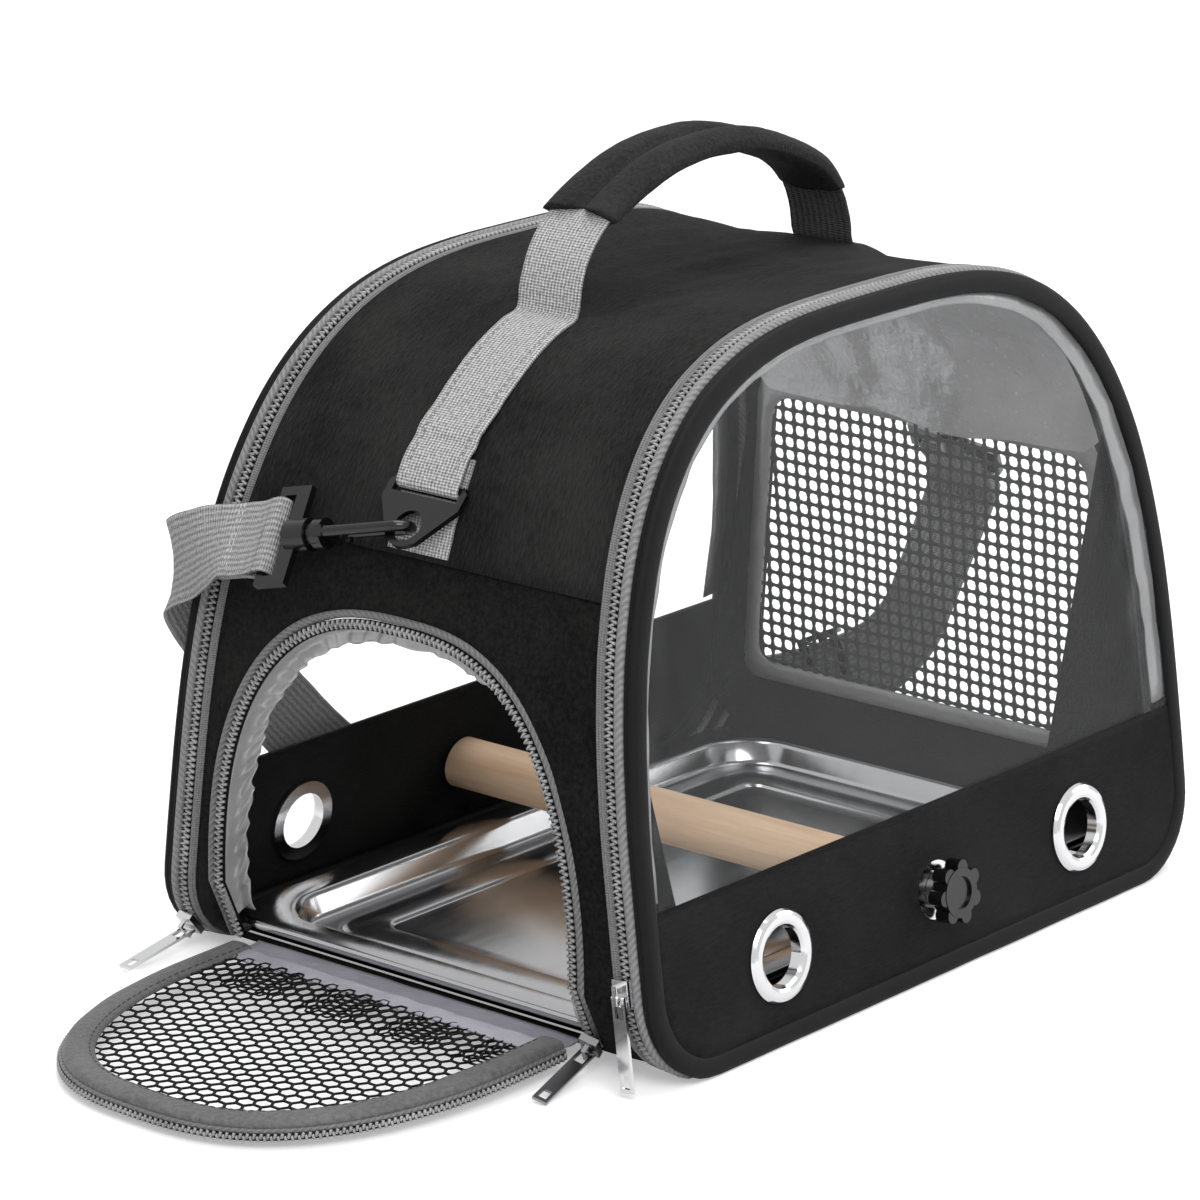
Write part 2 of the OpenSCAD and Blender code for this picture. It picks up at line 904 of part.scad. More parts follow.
// The handle webbing from the right ring to the crest: round the ring's bar, up the wall, then free
loop_w = ring_standoff + ring_bar / 2 + seat_gap + web_t / 2 + 0.2;
loop_r = (loop_w - web_lift) / 2;
web_right = concat(
    [at_ring(15, web_lift), at_ring(8, web_lift)],
    [for (i = [0:6]) let (a = 180 + 30 * i)
        at_ring(-0.3 + loop_r * sin(a), (web_lift + loop_w) / 2 + loop_r * cos(a))],
    [at_ring(7, loop_w - 0.1), at_ring(14, loop_w - 1), at_ring(20, web_lift + web_t + 0.9),
     at_ring(26, web_lift + web_t + 0.2)],
    [for (i = [0:7])
        let (a0 = arch_angle(ring_z + 30), a1 = acos(pow(handle_x / body_w * 2, arch_side_power / 2)))
        arch_point(a0 + (a1 - a0) * i / 7, -web_lift - (i < 2 ? (2 - i) / 2 * 0.9 : 0))],
    handle_half
);
web_path = concat(web_right, [for (p = mirrored(web_right)) if (p[0] < 0) p]);

module handle_webbing() {
    color(grey)
        strip_solid(web_path, -web_t / 2, web_t / 2, web_w);
}

grip_half = [for (i = [1:5]) handle_half[i]];
grip_path = concat(grip_half, [for (p = mirrored(grip_half)) if (p[0] < 0) p]);

module handle_grip() {
    color(black)
        difference() {
            strip_solid(grip_path, -grip_t / 2, grip_t / 2, grip_w);
            strip_solid(
                concat([handle_half[0]], grip_path, [[-handle_half[0][0], handle_half[0][1]]]),
                -web_t / 2 - fit_gap, web_t / 2 + fit_gap, web_w + 2 * fit_gap
            );
        }
}

// Short webbing that runs from under each ring down into the seam
module ring_anchors() {
    tail = [at_ring(-4.5, web_lift), at_ring(-14, web_lift),
            wall_point(seam_z + 6), wall_point(seam_z + 0.5)];
    color(grey)
        for (side = [0, 1])
            mirror([side, 0, 0])
                strip_solid(tail, -web_t / 2, web_t / 2, web_w);
}
function wall_point(z) = arch_point(arch_angle(z), -web_lift);

// ---------- rings and hooks ----------
// Ring frame: X points outwards off the wall, Y to the front arch, Z up the ring; the origin is
// the middle of the ring's upper bar. The right ring is the left ring mirrored.

ring_half = 22;       // half of the ring's width
ring_slot = 5;        // height of the webbing slot
ring_hole = 15;       // diameter of the hook's hole
ring_hole_z = -21.5;  // from the upper bar down to the middle of that hole
ring_t = 2.6;

module ring_frame(side) {
    p = at_ring(0, ring_standoff);
    mirror([side < 0 ? 1 : 0, 0, 0])
        translate([p[0], 0, p[1]])
            rotate([0, -wall_tilt(ring_z) - ring_flare[side < 0 ? 0 : 1], 0])
                children();
}

module ring() {
    color("#1f1f21")
        difference() {
            union() {
                rotate([90, 0, 90])
                    linear_extrude(ring_t, center = true)
                        ring_shape();
                rotate([90, 0, 0])
                    cylinder(d = ring_bar, h = 2 * ring_half - 4, center = true, $fn = 32);
            }
            translate([-slop / 2, 0, ring_hole_z])
                rotate([0, 90, 0])
                    cylinder(d = ring_hole, h = slop, $fn = 64);
        }
}

module ring_shape() {
    difference() {
        union() {
            polygon([
                [-ring_half, -ring_bar / 2], [-ring_half, -10], [-8, ring_hole_z - 8],
                [8, ring_hole_z - 8], [ring_half, -10], [ring_half, -ring_bar / 2],
                [ring_half - 3, ring_bar / 2], [-ring_half + 3, ring_bar / 2]
            ]);
            translate([0, ring_hole_z])
                circle(r = 10.5, $fn = 64);
        }
        translate([-web_w / 2 - 1, -ring_bar / 2 - ring_slot])
            square([web_w + 2, ring_slot + 2 * ring_bar]);
    }
}

// Hook frame: X runs from the swivel to the ring, Y is the gate's side of the hook, and the nose
// ends in the middle of the ring's hole. The drop is the hook's direction below level, towards
// the back, and lean is its angle out of the ring's plate.
hook_gap = 5.6;       // from the hook's middle to its spine and to its gate
hook_r = 2.5;
gate_r = 1.9;
shank_r = 2.8;        // the swivel's shank in the strap frame
nose_x = 52;
hook_reach = nose_x + hook_gap;
hook_drop = [14.7, 75.8];      // left and right
hook_lean = [-2.5, -2.5];
hook_roll = 68;                // turn of the hook about its own shank
frame_roll = 90;               // turn of the strap frame about the same shank

module hook_place(side, roll) {
    k = side < 0 ? 0 : 1;
    ring_frame(side)
        translate([0, 0, ring_hole_z])
            rotate([90 - hook_drop[k], 0, 0])
                rotate([0, -hook_lean[k], 0])
                    rotate([0, 0, roll])
                        translate([0, 0, -hook_reach])
                            rotate([0, -90, 0])
                                children();
}

function spin_x(a, p) = [p[0], p[1] * cos(a) - p[2] * sin(a), p[1] * sin(a) + p[2] * cos(a)];
function spin_y(a, p) = [p[0] * cos(a) + p[2] * sin(a), p[1], p[2] * cos(a) - p[0] * sin(a)];
function spin_z(a, p) = [p[0] * cos(a) - p[1] * sin(a), p[0] * sin(a) + p[1] * cos(a), p[2]];

// The same placement for one point
function hook_point(side, roll, p) =
    let (
        k = side < 0 ? 0 : 1,
        bar = at_ring(0, ring_standoff),
        a = spin_z(roll, spin_y(-90, p) + [0, 0, -hook_reach]),
        b = spin_x(90 - hook_drop[k], spin_y(-hook_lean[k], a)),
        c = spin_y(-wall_tilt(ring_z) - ring_flare[k], b + [0, 0, ring_hole_z]) + [bar[0], 0, bar[1]]
    )
    [side * c[0], c[1], c[2]];

module rod(x0, x1, y, r) {
    translate([x0, y, 0])
        rotate([0, 90, 0])
            cylinder(r = r, h = x1 - x0, $fn = 32);
}

module hook_body() {
    color("#1f1f21") {
        rod(neck_x + 3, neck_x + 8, 0, 7);
        rod(neck_x, neck_x + 3.5, 0, 5.5);
        rod(-3, neck_x + 1, 0, shank_r);
        rod(-5.2, -3, 0, 4.4);
        translate([neck_x + 7, -hook_gap - hook_r, -hook_r])
            cube([3.5, 2 * hook_gap + hook_r, 2 * hook_r]);
        rod(neck_x + 9, nose_x, -hook_gap, hook_r);
        translate([nose_x, 0, 0])
            rotate([0, 0, -90])
                rotate_extrude(angle = 180, $fn = 64)
                    translate([hook_gap, 0])
                        circle(hook_r, $fn = 32);
        rod(gate_end, nose_x, hook_gap, hook_r);
    }
}
neck_x = 6;
gate_end = 44;
gate_pivot_x = 21;

// The gate lies against the nose's end and turns in about a pin through the hook's ears
module hook_gate() {
    color("#2c2c2e")
        difference() {
            union() {
                rod(gate_pivot_x, gate_end - 0.4, hook_gap, gate_r);
                translate([gate_pivot_x, hook_gap, 0])
                    cylinder(r = gate_r + 0.5, h = 2 * gate_r + 0.3, center = true, $fn = 32);
            }
            translate([gate_pivot_x, hook_gap, 0])
                cylinder(r = gate_pin_r + run_gap, h = slop, center = true, $fn = 32);
        }
}
gate_pin_r = 1;
ear_t = 1.4;

module gate_ears() {
    color("#1f1f21") {
        for (s = [-1, 1])
            translate([neck_x + 7, 0, s * (gate_r + 0.3 + ear_t / 2) - ear_t / 2]) {
                translate([0, hook_gap - 2.5, 0])
                    cube([gate_pivot_x - neck_x - 7, 5, ear_t]);
                translate([gate_pivot_x - neck_x - 7, hook_gap, 0])
                    cylinder(r = 2.5, h = ear_t, $fn = 32);
            }
        translate([gate_pivot_x, hook_gap, 0])
            cylinder(r = gate_pin_r, h = 2 * gate_r + 2, center = true, $fn = 32);
    }
}

module hook_with_ears(side) {
    hook_place(side, hook_roll) {
        hook_body();
        gate_ears();
    }
}

// The strap frame: a bar for the strap, two arms and the barrel that the hook swivels in
module strap_frame() {
    slot = strap_w + 3;
    out = slot + 9;
    color("#1f1f21")
        difference() {
            union() {
                translate([frame_bar_x - 1.7, -frame_t / 2, -out / 2])
                    cube([16.3, frame_t, out]);
                translate([-6, 0, 0])
                    rotate([0, 90, 0])
                        cylinder(r = 7.5, h = 11.5, $fn = 48);
            }
            translate([frame_bar_x + 1.7, -slop / 2, -slot / 2])
                cube([5.8, slop, slot]);
            translate([-slop, 0, 0])
                rotate([0, 90, 0])
                    cylinder(r = shank_r + run_gap, h = 2 * slop, $fn = 48);
            translate([-5.7, 0, 0])
                rotate([0, 90, 0])
                    cylinder(r = 4.7, h = 3, $fn = 48);
        }
}
frame_t = 3.6;
frame_bar_x = -15.5;

// ---------- shoulder strap ----------
// Each station is the strap's middle and the direction across its width. The strap is sewn round
// both frames' bars, and runs from the left hook round the back to the right one.

function back_y(z) = -front_y(z);
ex = body_w / 2;
loop_mid = 2.5 + seat_gap + strap_t / 2;     // from a frame bar's middle to the strap round it
layer = (strap_t + seat_gap) / 2;            // from the middle of a doubled strap to each layer

function frame_station(side, x, y) = [
    hook_point(side, frame_roll, [frame_bar_x + x, y, 0]),
    hook_point(side, frame_roll, [0, 0, 0]) - hook_point(side, frame_roll, [0, 0, 1])
];
function frame_turn(side) = concat(
    [for (x = [-24, -16]) frame_station(side, x, layer)],
    [frame_station(side, -9, layer + 0.4), frame_station(side, -3.5, loop_mid - 0.5)],
    [for (a = [80:-40:-80]) frame_station(side, loop_mid * cos(a), loop_mid * sin(a))],
    [frame_station(side, -3.5, 0.5 - loop_mid), frame_station(side, -9, -layer - 0.4)],
    [for (x = [-16, -25]) frame_station(side, x, -layer)]
);
function flipped(p) = [for (i = [len(p) - 1:-1:0]) p[i]];

strap_middle = [
    [[-ex - 6.5, back_y(200) - 21, 200.5], [0.45, 0.33, 0.83]],
    [[-ex - 7, back_y(195) - 11.5, 195.5], [0.2, 0.42, 0.88]],
    [[-ex - 4.5, back_y(190) - 2, 190], [0.05, 0.42, 0.9]],
    [[-ex + 1, back_y(184) + 6, 184], [0.3, 0.25, 0.9]],
    [[-ex + 10, back_y(176) + 10.5, 176], [0.42, 0.05, 0.9]],
    [[-ex + 20, back_y(163) + 11, 163], [0.5, -0.1, 0.86]],
    [[-ex + 34, back_y(145) + 10, 145], [0.6, -0.1, 0.8]],
    [[-ex + 51, back_y(123) + 9.5, 123], [0.64, -0.1, 0.77]],
    [[-ex + 74, back_y(102) + 9, 102], [0.66, -0.1, 0.75]],
    [[-ex + 97, back_y(80) + 9, 80], [0.66, -0.1, 0.75]],
    [[-ex + 120, back_y(60) + 10, 60], [0.6, -0.1, 0.8]],
    [[-ex + 147, back_y(42) + 13, 42], [0.5, -0.1, 0.86]],
    [[-27, back_y(30) + 18, 30], [0.28, -0.1, 0.95]],
    [[6, back_y(23) + 18.5, 23], [0.1, -0.1, 0.99]],
    [[40, back_y(21) + 16, 21], [0, -0.1, 1]],
    [[80, back_y(21) + 11, 21], [0, -0.1, 1]],
    [[ex - 76, back_y(21) + 9.5, 21], [0, -0.1, 1]],
    [[ex - 40, back_y(21) + 9.5, 21], [0, -0.1, 1]],
    [[ex - 16, back_y(21) + 8.5, 21], [0, -0.08, 1]],
    [[ex, back_y(22) + 3, 22], [0, 0, 1]],
    [[ex + 9, back_y(24) - 10, 24], [0, 0.1, 1]],
    [[ex + 13, back_y(28) - 28, 28], [0, 0.24, 0.97]],
    [[ex + 16, back_y(35) - 50, 36], [0, 0.42, 0.91]],
    [[ex + 19, back_y(48) - 76, 49.5], [0, 0.46, 0.89]],
    [[ex + 21, back_y(60) - 92, 62], [0, 0.66, 0.75]],
    [[ex + 23, back_y(80) - 103, 80], [0, 0.86, 0.5]],
    [[ex + 25, back_y(100) - 108, 100], [0, 0.95, 0.3]]
];
strap_route = concat(frame_turn(-1), strap_middle, flipped(frame_turn(1)));
slide_at = len(frame_turn(-1)) + 22;         // the straight stretch that the slide sits on

function strap_axes(s) =
    let (
        a = strap_route[max(0, s - 1)][0],
        b = strap_route[min(len(strap_route) - 1, s + 1)][0],
        run = (b - a) / norm(b - a),
        raw = strap_route[s][1] - (strap_route[s][1] * run) * run,
        across = raw / norm(raw)
    )
    [run, across, cross(run, across)];

function strap_ring(s) =
    let (axes = strap_axes(s))
    [for (k = [[-1, -1], [1, -1], [1, 1], [-1, 1]])
        strap_route[s][0] + k[0] * strap_w / 2 * axes[1] + k[1] * strap_t / 2 * axes[2]];

module shoulder_strap() {
    rings = [for (s = [0:len(strap_route) - 1]) strap_ring(s)];
    n = len(rings);
    echo(strap_length = strap_length(0));
    color("#3a3a3d")
        polyhedron(
            points = [for (r = rings) for (p = r) p],
            faces = concat(
                [[0, 1, 2], [0, 2, 3]],
                [for (r = [0:n - 2], k = [0:3])
                    let (a = 4 * r + k, b = 4 * r + (k + 1) % 4)
                        each k < 2 ? [[a, a + 4, b], [b, a + 4, b + 4]]
                            : [[a, a + 4, b + 4], [a, b + 4, b]]],
                [[4 * n - 4, 4 * n - 2, 4 * n - 3], [4 * n - 4, 4 * n - 1, 4 * n - 2]]
            )
        );
}
function strap_length(i) = i >= len(strap_route) - 1 ? 0
    : norm(strap_route[i + 1][0] - strap_route[i][0]) + strap_length(i + 1);

// The length-adjusting slide: two side rails, an outer bar at each end and a bar behind the strap
module strap_slide() {
    mid = (strap_route[slide_at][0] + strap_route[slide_at + 1][0]) / 2;
    run = (strap_route[slide_at + 1][0] - strap_route[slide_at][0])
        / norm(strap_route[slide_at + 1][0] - strap_route[slide_at][0]);
    raw = strap_route[slide_at][1] - (strap_route[slide_at][1] * run) * run;
    across = raw / norm(raw);
    out = cross(across, run);
    clear = strap_t / 2 + seat_gap;
    rail = strap_w / 2 + 1;
    color("#1f1f21")
        multmatrix([
            [run[0], across[0], out[0], mid[0]], [run[1], across[1], out[1], mid[1]],
            [run[2], across[2], out[2], mid[2]], [0, 0, 0, 1]
        ])
            union() {
                for (s = [-1, 1]) {
                    translate([-12, s * (rail + 1.5) - 1.5, -clear - 2.2])
                        cube([24, 3, 2 * clear + 4.4]);
                    translate([s * 10 - 2, -rail - 1, -clear - 2.2])
                        cube([4, 2 * rail + 2, 2.2]);
                }
                translate([-2, -rail - 1, clear])
                    cube([4, 2 * rail + 2, 2.2]);
            }
}

bottom_panel();
base_board();
steel_tray();
left_end_wall();
roof_panel();
right_end_wall();
roof_lining();
rim();  // front_rim
at_back() rim();  // back_rim
hoop_wire();  // front_hoop_wire
at_back() hoop_wire();  // back_hoop_wire
window();  // front_window
at_back() window();  // back_window
band();  // front_band
at_back() band();  // back_band
grommets();  // front_grommets
at_back() grommets();  // back_grommets
zip_tape();  // front_zip_tape
at_back() zip_tape();  // back_zip_tape
zip_coil();  // front_zip_coil
at_back() zip_coil();  // back_zip_coil
piping();  // front_piping
at_back() piping();  // back_piping
front_zip_slider();
front_zip_pull();
back_zip_slider();
back_zip_pull();
door_piping();
door_frame_coil();
door_lining();
door_hinge_strip();
door_binding();
door_mesh();
door_flap_coil();
door_mesh_hem();
door_zip_slider();
door_zip_pull();
perch_dowel();
perch_studs();
perch_washers();
knob_washers();
knob();  // front_knob
at_back() knob();  // back_knob
end_mesh();
end_mesh_binding();
handle_webbing();
handle_grip();
ring_anchors();
ring_frame(-1) ring();  // left_ring
ring_frame(1) ring();  // right_ring
hook_place(-1, frame_roll) strap_frame();  // left_strap_frame
hook_place(1, frame_roll) strap_frame();  // right_strap_frame
hook_with_ears(-1);  // left_hook
hook_with_ears(1);  // right_hook
hook_place(-1, hook_roll) hook_gate();  // left_hook_gate
hook_place(1, hook_roll) hook_gate();  // right_hook_gate
shoulder_strap();
strap_slide();
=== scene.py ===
"""The looks of a soft bird travel carrier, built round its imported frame. Lengths below are millimetres."""
from functools import partial
from math import acos, asin, atan, copysign, cos, degrees, exp, hypot, pi, radians, sin, sqrt, tan

import bmesh
import bpy
from mathutils import Matrix, Vector, geometry, noise


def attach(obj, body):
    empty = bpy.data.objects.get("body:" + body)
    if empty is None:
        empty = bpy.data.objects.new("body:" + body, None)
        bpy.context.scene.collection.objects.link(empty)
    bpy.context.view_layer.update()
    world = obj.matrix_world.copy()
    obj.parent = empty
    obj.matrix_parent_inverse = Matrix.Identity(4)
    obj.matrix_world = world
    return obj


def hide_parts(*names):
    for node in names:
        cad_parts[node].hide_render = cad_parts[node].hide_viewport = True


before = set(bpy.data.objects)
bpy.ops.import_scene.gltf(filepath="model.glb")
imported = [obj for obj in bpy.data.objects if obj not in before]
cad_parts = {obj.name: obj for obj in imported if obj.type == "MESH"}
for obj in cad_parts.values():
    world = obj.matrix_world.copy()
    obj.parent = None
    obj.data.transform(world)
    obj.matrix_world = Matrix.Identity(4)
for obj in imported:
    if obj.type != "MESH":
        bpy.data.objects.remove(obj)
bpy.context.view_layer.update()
MM = 0.001
UP, ACROSS = Vector((0.0, 0.0, 1.0)), Vector((0.0, 1.0, 0.0))

# ---------- sizes of the carrier, as in the frame ----------

BODY_W, BODY_D, BODY_H = 400.0, 300.0, 310.0
LEAN = radians(7.1)
LEAN_TAN = tan(LEAN)
CORNER_R = 41.0
FOOT = BODY_W / 2 - CORNER_R
ARCH_START = 61.0
ARCH_SIDE, ARCH_TOP = 3.25, 2.8
WALL_T, ROOF_T, BAND_T, HEM_T = 3.0, 2.4, 1.9, 0.9
SEAM_Z = 210.0
RIM_W = 9.0
ZIP_DEPTH = 20.5
BAND_H = 79.0
PANEL_DEPTH = 1.5
PERCH_Z = 40.0
GROMMET_X = 112.0
GROMMET_HOLE = 16.5
STUD_HOLE = 6.0

DOOR_W, DOOR_TOP, DOOR_START, DOOR_Y = 222.0, 183.0, 40.0, 4.0
DOOR_SIDE, DOOR_ARCH = 2.7, 2.2
DOOR_LOW = 11.0
FLAP_INSET = 9.5
HINGE = Vector((-199.0, DOOR_Y, 10.0))
DOOR_TILT = radians(1.0)

END_LOW, END_HIGH, END_SIDE, END_CORNER = 48.0, 198.0, 8.0, 12.0
WEB_W, WEB_T = 35.0, 1.8
STRAP_W, STRAP_T = 38.0, 1.6

# ---------- camera ----------

CAMERA_AT = Vector((-1827.6, -1486.4, 848.9))
CAMERA_AZ, CAMERA_EL = radians(-49.897), radians(16.571)
LENS = 160.09


def make_camera():
    data = bpy.data.cameras.new("camera")
    data.lens = LENS
    data.sensor_width = 36.0
    data.clip_end = 50.0
    camera = bpy.data.objects.new("camera", data)
    back = Vector((sin(CAMERA_AZ) * cos(CAMERA_EL),
                   -cos(CAMERA_AZ) * cos(CAMERA_EL), sin(CAMERA_EL)))
    right = Vector((cos(CAMERA_AZ), sin(CAMERA_AZ), 0.0))
    up = back.cross(right)
    turn = Matrix((right, up, back)).transposed().to_4x4()
    camera.matrix_world = Matrix.Translation(CAMERA_AT * MM) @ turn
    bpy.context.collection.objects.link(camera)
    bpy.context.scene.camera = camera


# ---------- materials ----------

class Tree:
    """A node tree and short ways to add to it. An input takes a value or a socket to link."""

    def __init__(self, tree):
        self.tree = tree

    def put(self, node, inputs):
        for key, value in inputs.items():
            if isinstance(value, bpy.types.NodeSocket):
                self.tree.links.new(value, node.inputs[key])
            else:
                node.inputs[key].default_value = value

    def node(self, kind, inputs=None, **values):
        made = self.tree.nodes.new(kind)
        for key, value in values.items():
            setattr(made, key, value)
        self.put(made, inputs or {})
        return made

    def math(self, operation, a, b):
        return self.node("ShaderNodeMath", {0: a, 1: b}, operation=operation).outputs[0]

    def blend(self, a, share, b, other):
        return self.math("ADD", self.math("MULTIPLY", a, share), self.math("MULTIPLY", b, other))

    def finish(self, factor, low, high, output):
        """Ends the tree in a mix of two shaders."""
        mixed = self.node("ShaderNodeMixShader", {"Fac": factor, 1: low.outputs[0], 2: high.outputs[0]})
        self.put(self.tree.nodes[output], {"Surface": mixed.outputs[0]})


class Nodes(Tree):
    """A new material's tree with a Principled shader."""

    def __init__(self, name, colour, rough, metal=0.0):
        self.material = bpy.data.materials.new(name)
        self.material.use_nodes = True
        super().__init__(self.material.node_tree)
        self.shader = self.tree.nodes["Principled BSDF"]
        self.height = None
        self.set({"Base Color": (*colour, 1.0), "Roughness": rough, "Metallic": metal})

    def set(self, inputs):
        self.put(self.shader, inputs)

    def coords(self, which, scale=(1.0, 1.0, 1.0), turn=0.0):
        source = self.node("ShaderNodeTexCoord").outputs[which]
        inputs = {"Scale": scale, "Rotation": (0.0, 0.0, turn), "Vector": source}
        return self.node("ShaderNodeMapping", inputs).outputs["Vector"]

    def noise(self, scale, detail=4.0, rough=0.6, where=None):
        inputs = {"Scale": scale, "Detail": detail, "Roughness": rough,
                  "Vector": where or self.coords("Object")}
        return self.node("ShaderNodeTexNoise", inputs).outputs["Fac"]

    def wave(self, pitch, direction, where, distortion):
        inputs = {"Scale": pi / 10.0 / pitch, "Distortion": distortion, "Vector": where}
        made = self.node("ShaderNodeTexWave", inputs, wave_type="BANDS", bands_direction=direction)
        return made.outputs["Fac"]

    def mix_colour(self, factor, low, high, start=0.3):
        ramp = self.node("ShaderNodeValToRGB", {"Fac": factor})
        for stop, colour, at in zip(ramp.color_ramp.elements, (low, high), (start, 1.0 - start)):
            stop.color = (*colour, 1.0)
            stop.position = at
        self.set({"Base Color": ramp.outputs["Color"]})

    def bump(self, height, distance, strength=1.0):
        inputs = {"Strength": strength, "Distance": distance, "Height": height}
        if self.height:
            inputs["Normal"] = self.height
        self.height = self.node("ShaderNodeBump", inputs).outputs["Normal"]
        self.set({"Normal": self.height})

    def rough(self, factor, low, high):
        spread = self.node("ShaderNodeMapRange", {"Value": factor, "To Min": low, "To Max": high})
        self.set({"Roughness": spread.outputs["Result"]})

    def sheen(self, weight, rough=0.4):
        self.set({"Sheen Weight": weight, "Sheen Roughness": rough})


def shades(colour, low, high):
    """A darker and a lighter shade of a colour."""
    return [tuple(c * factor for c in colour) for factor in (low, high)]


def cloth(name, colour, rough, grain=700.0, depth=0.00035, sheen=0.15, vary=0.35, shine=0.5, slub=None):
    """A fine grained cloth with an uneven dye and small dents. slub is its threads' scale on the UVs."""
    m = Nodes(name, colour, rough)
    fibres = m.noise(1.0, 6.0, 0.75, m.coords("UV", slub)) if slub else m.noise(grain, 6.0, 0.7)
    cloud = m.noise(18.0, 3.0, 0.55)
    m.mix_colour(m.blend(fibres, 0.65, cloud, 0.35), *shades(colour, 1.0 - vary, 1.0 + vary), 0.4)
    m.bump(fibres, depth)
    m.bump(cloud, 0.0012, 0.5)
    m.rough(fibres, rough - 0.12, min(1.0, rough + 0.1))
    m.sheen(sheen)
    m.set({"Specular IOR Level": shine})
    return m.material


def webbing(name, colour, rib, cross, depth, vary):
    """Woven webbing: ribs along its length (u) and picks across it (v), in metres of UV."""
    m = Nodes(name, colour, 0.8)
    where = m.coords("UV")
    ribs = m.wave(rib, "Y", where, 0.6)
    picks = m.wave(cross, "X", where, 0.8)
    speck = m.noise(1.0, 3.0, 0.65, m.coords("UV", (420.0, 900.0, 1.0)))
    weave = m.blend(ribs, 0.5, picks, 0.5)
    m.mix_colour(m.blend(weave, 0.35, speck, 0.65), *shades(colour, 1.0 - vary, 1.0 + vary * 0.7), 0.38)
    m.bump(weave, depth)
    m.bump(speck, 0.0003)
    m.sheen(0.2)
    return m.material


def pleated(name, colour):
    """Smooth cloth drawn in slanting pleats round a cord."""
    m = Nodes(name, colour, 0.5)
    pleats = m.wave(0.0024, "X", m.coords("UV", (1.0, 1.0, 1.0), 0.8), 3.0)
    cloud = m.noise(60.0, 4.0, 0.6)
    m.mix_colour(m.blend(pleats, 0.5, cloud, 0.5), *shades(colour, 0.82, 1.15))
    m.bump(pleats, 0.0008, 0.6)
    m.bump(cloud, 0.001, 0.5)
    m.sheen(0.2)
    return m.material


def metal(name, colour, rough, brushed=0.0, direction=(1.0, 1.0, 1.0)):
    m = Nodes(name, colour, rough, 1.0)
    smear = m.noise(60.0, 4.0, 0.6, m.coords("Object", direction))
    m.rough(smear, max(0.02, rough - 0.06), rough + 0.12)
    if brushed:
        m.bump(smear, brushed, 0.4)
    return m.material


def plastic(name, colour, rough):
    m = Nodes(name, colour, rough)
    wear = m.noise(45.0, 3.0, 0.5)
    m.mix_colour(wear, *shades(colour, 0.8, 1.3))
    m.rough(wear, rough - 0.08, rough + 0.12)
    m.bump(m.noise(900.0, 3.0, 0.6), 0.00008)
    m.set({"Coat Weight": 0.15, "Coat Roughness": 0.2})
    return m.material


def wood(name, light, dark):
    """Pale planed wood with its grain along Y."""
    m = Nodes(name, light, 0.55)
    rings = m.noise(160.0, 6.0, 0.65, m.coords("Object", (1.0, 0.07, 1.0)))
    fleck = m.noise(700.0, 4.0, 0.7, m.coords("Object", (1.0, 0.03, 1.0)))
    m.mix_colour(m.blend(rings, 0.7, fleck, 0.3), dark, light)
    m.bump(fleck, 0.0002)
    m.rough(rings, 0.45, 0.68)
    return m.material


def satin(name, colour, rough):
    """Coated lining: a soft shine broken by many small creases."""
    m = Nodes(name, colour, rough)
    crease = m.noise(24.0, 4.0, 0.55)
    fine = m.noise(420.0, 4.0, 0.6)
    m.mix_colour(crease, *shades(colour, 0.9, 1.08))
    m.bump(crease, 0.007, 0.55)
    m.bump(fine, 0.0003)
    m.rough(fine, rough - 0.08, rough + 0.12)
    m.sheen(0.15, 0.3)
    m.set({"Specular IOR Level": 0.9, "Metallic": 0.25})
    return m.material


def clear_film(name):
    """Clear PVC sheet: see-through, glossy where the light grazes it, with faint ripples and scuffs."""
    m = Nodes(name, (0.93, 0.94, 0.95), 0.08)
    m.bump(m.noise(9.0, 2.0, 0.5), 0.006, 0.35)
    through = m.node("ShaderNodeBsdfTransparent", {"Color": (0.97, 0.975, 0.98, 1.0)})
    graze = m.node("ShaderNodeLayerWeight", {"Blend": 0.5, "Normal": m.height})
    steep = m.math("POWER", graze.outputs["Facing"], 4.0)
    haze = m.math("ADD", m.math("MULTIPLY", steep, 0.55), 0.03)
    m.finish(haze, through, m.shader, "Material Output")
    return m.material


THREADS = (170.0, 900.0, 1.0)

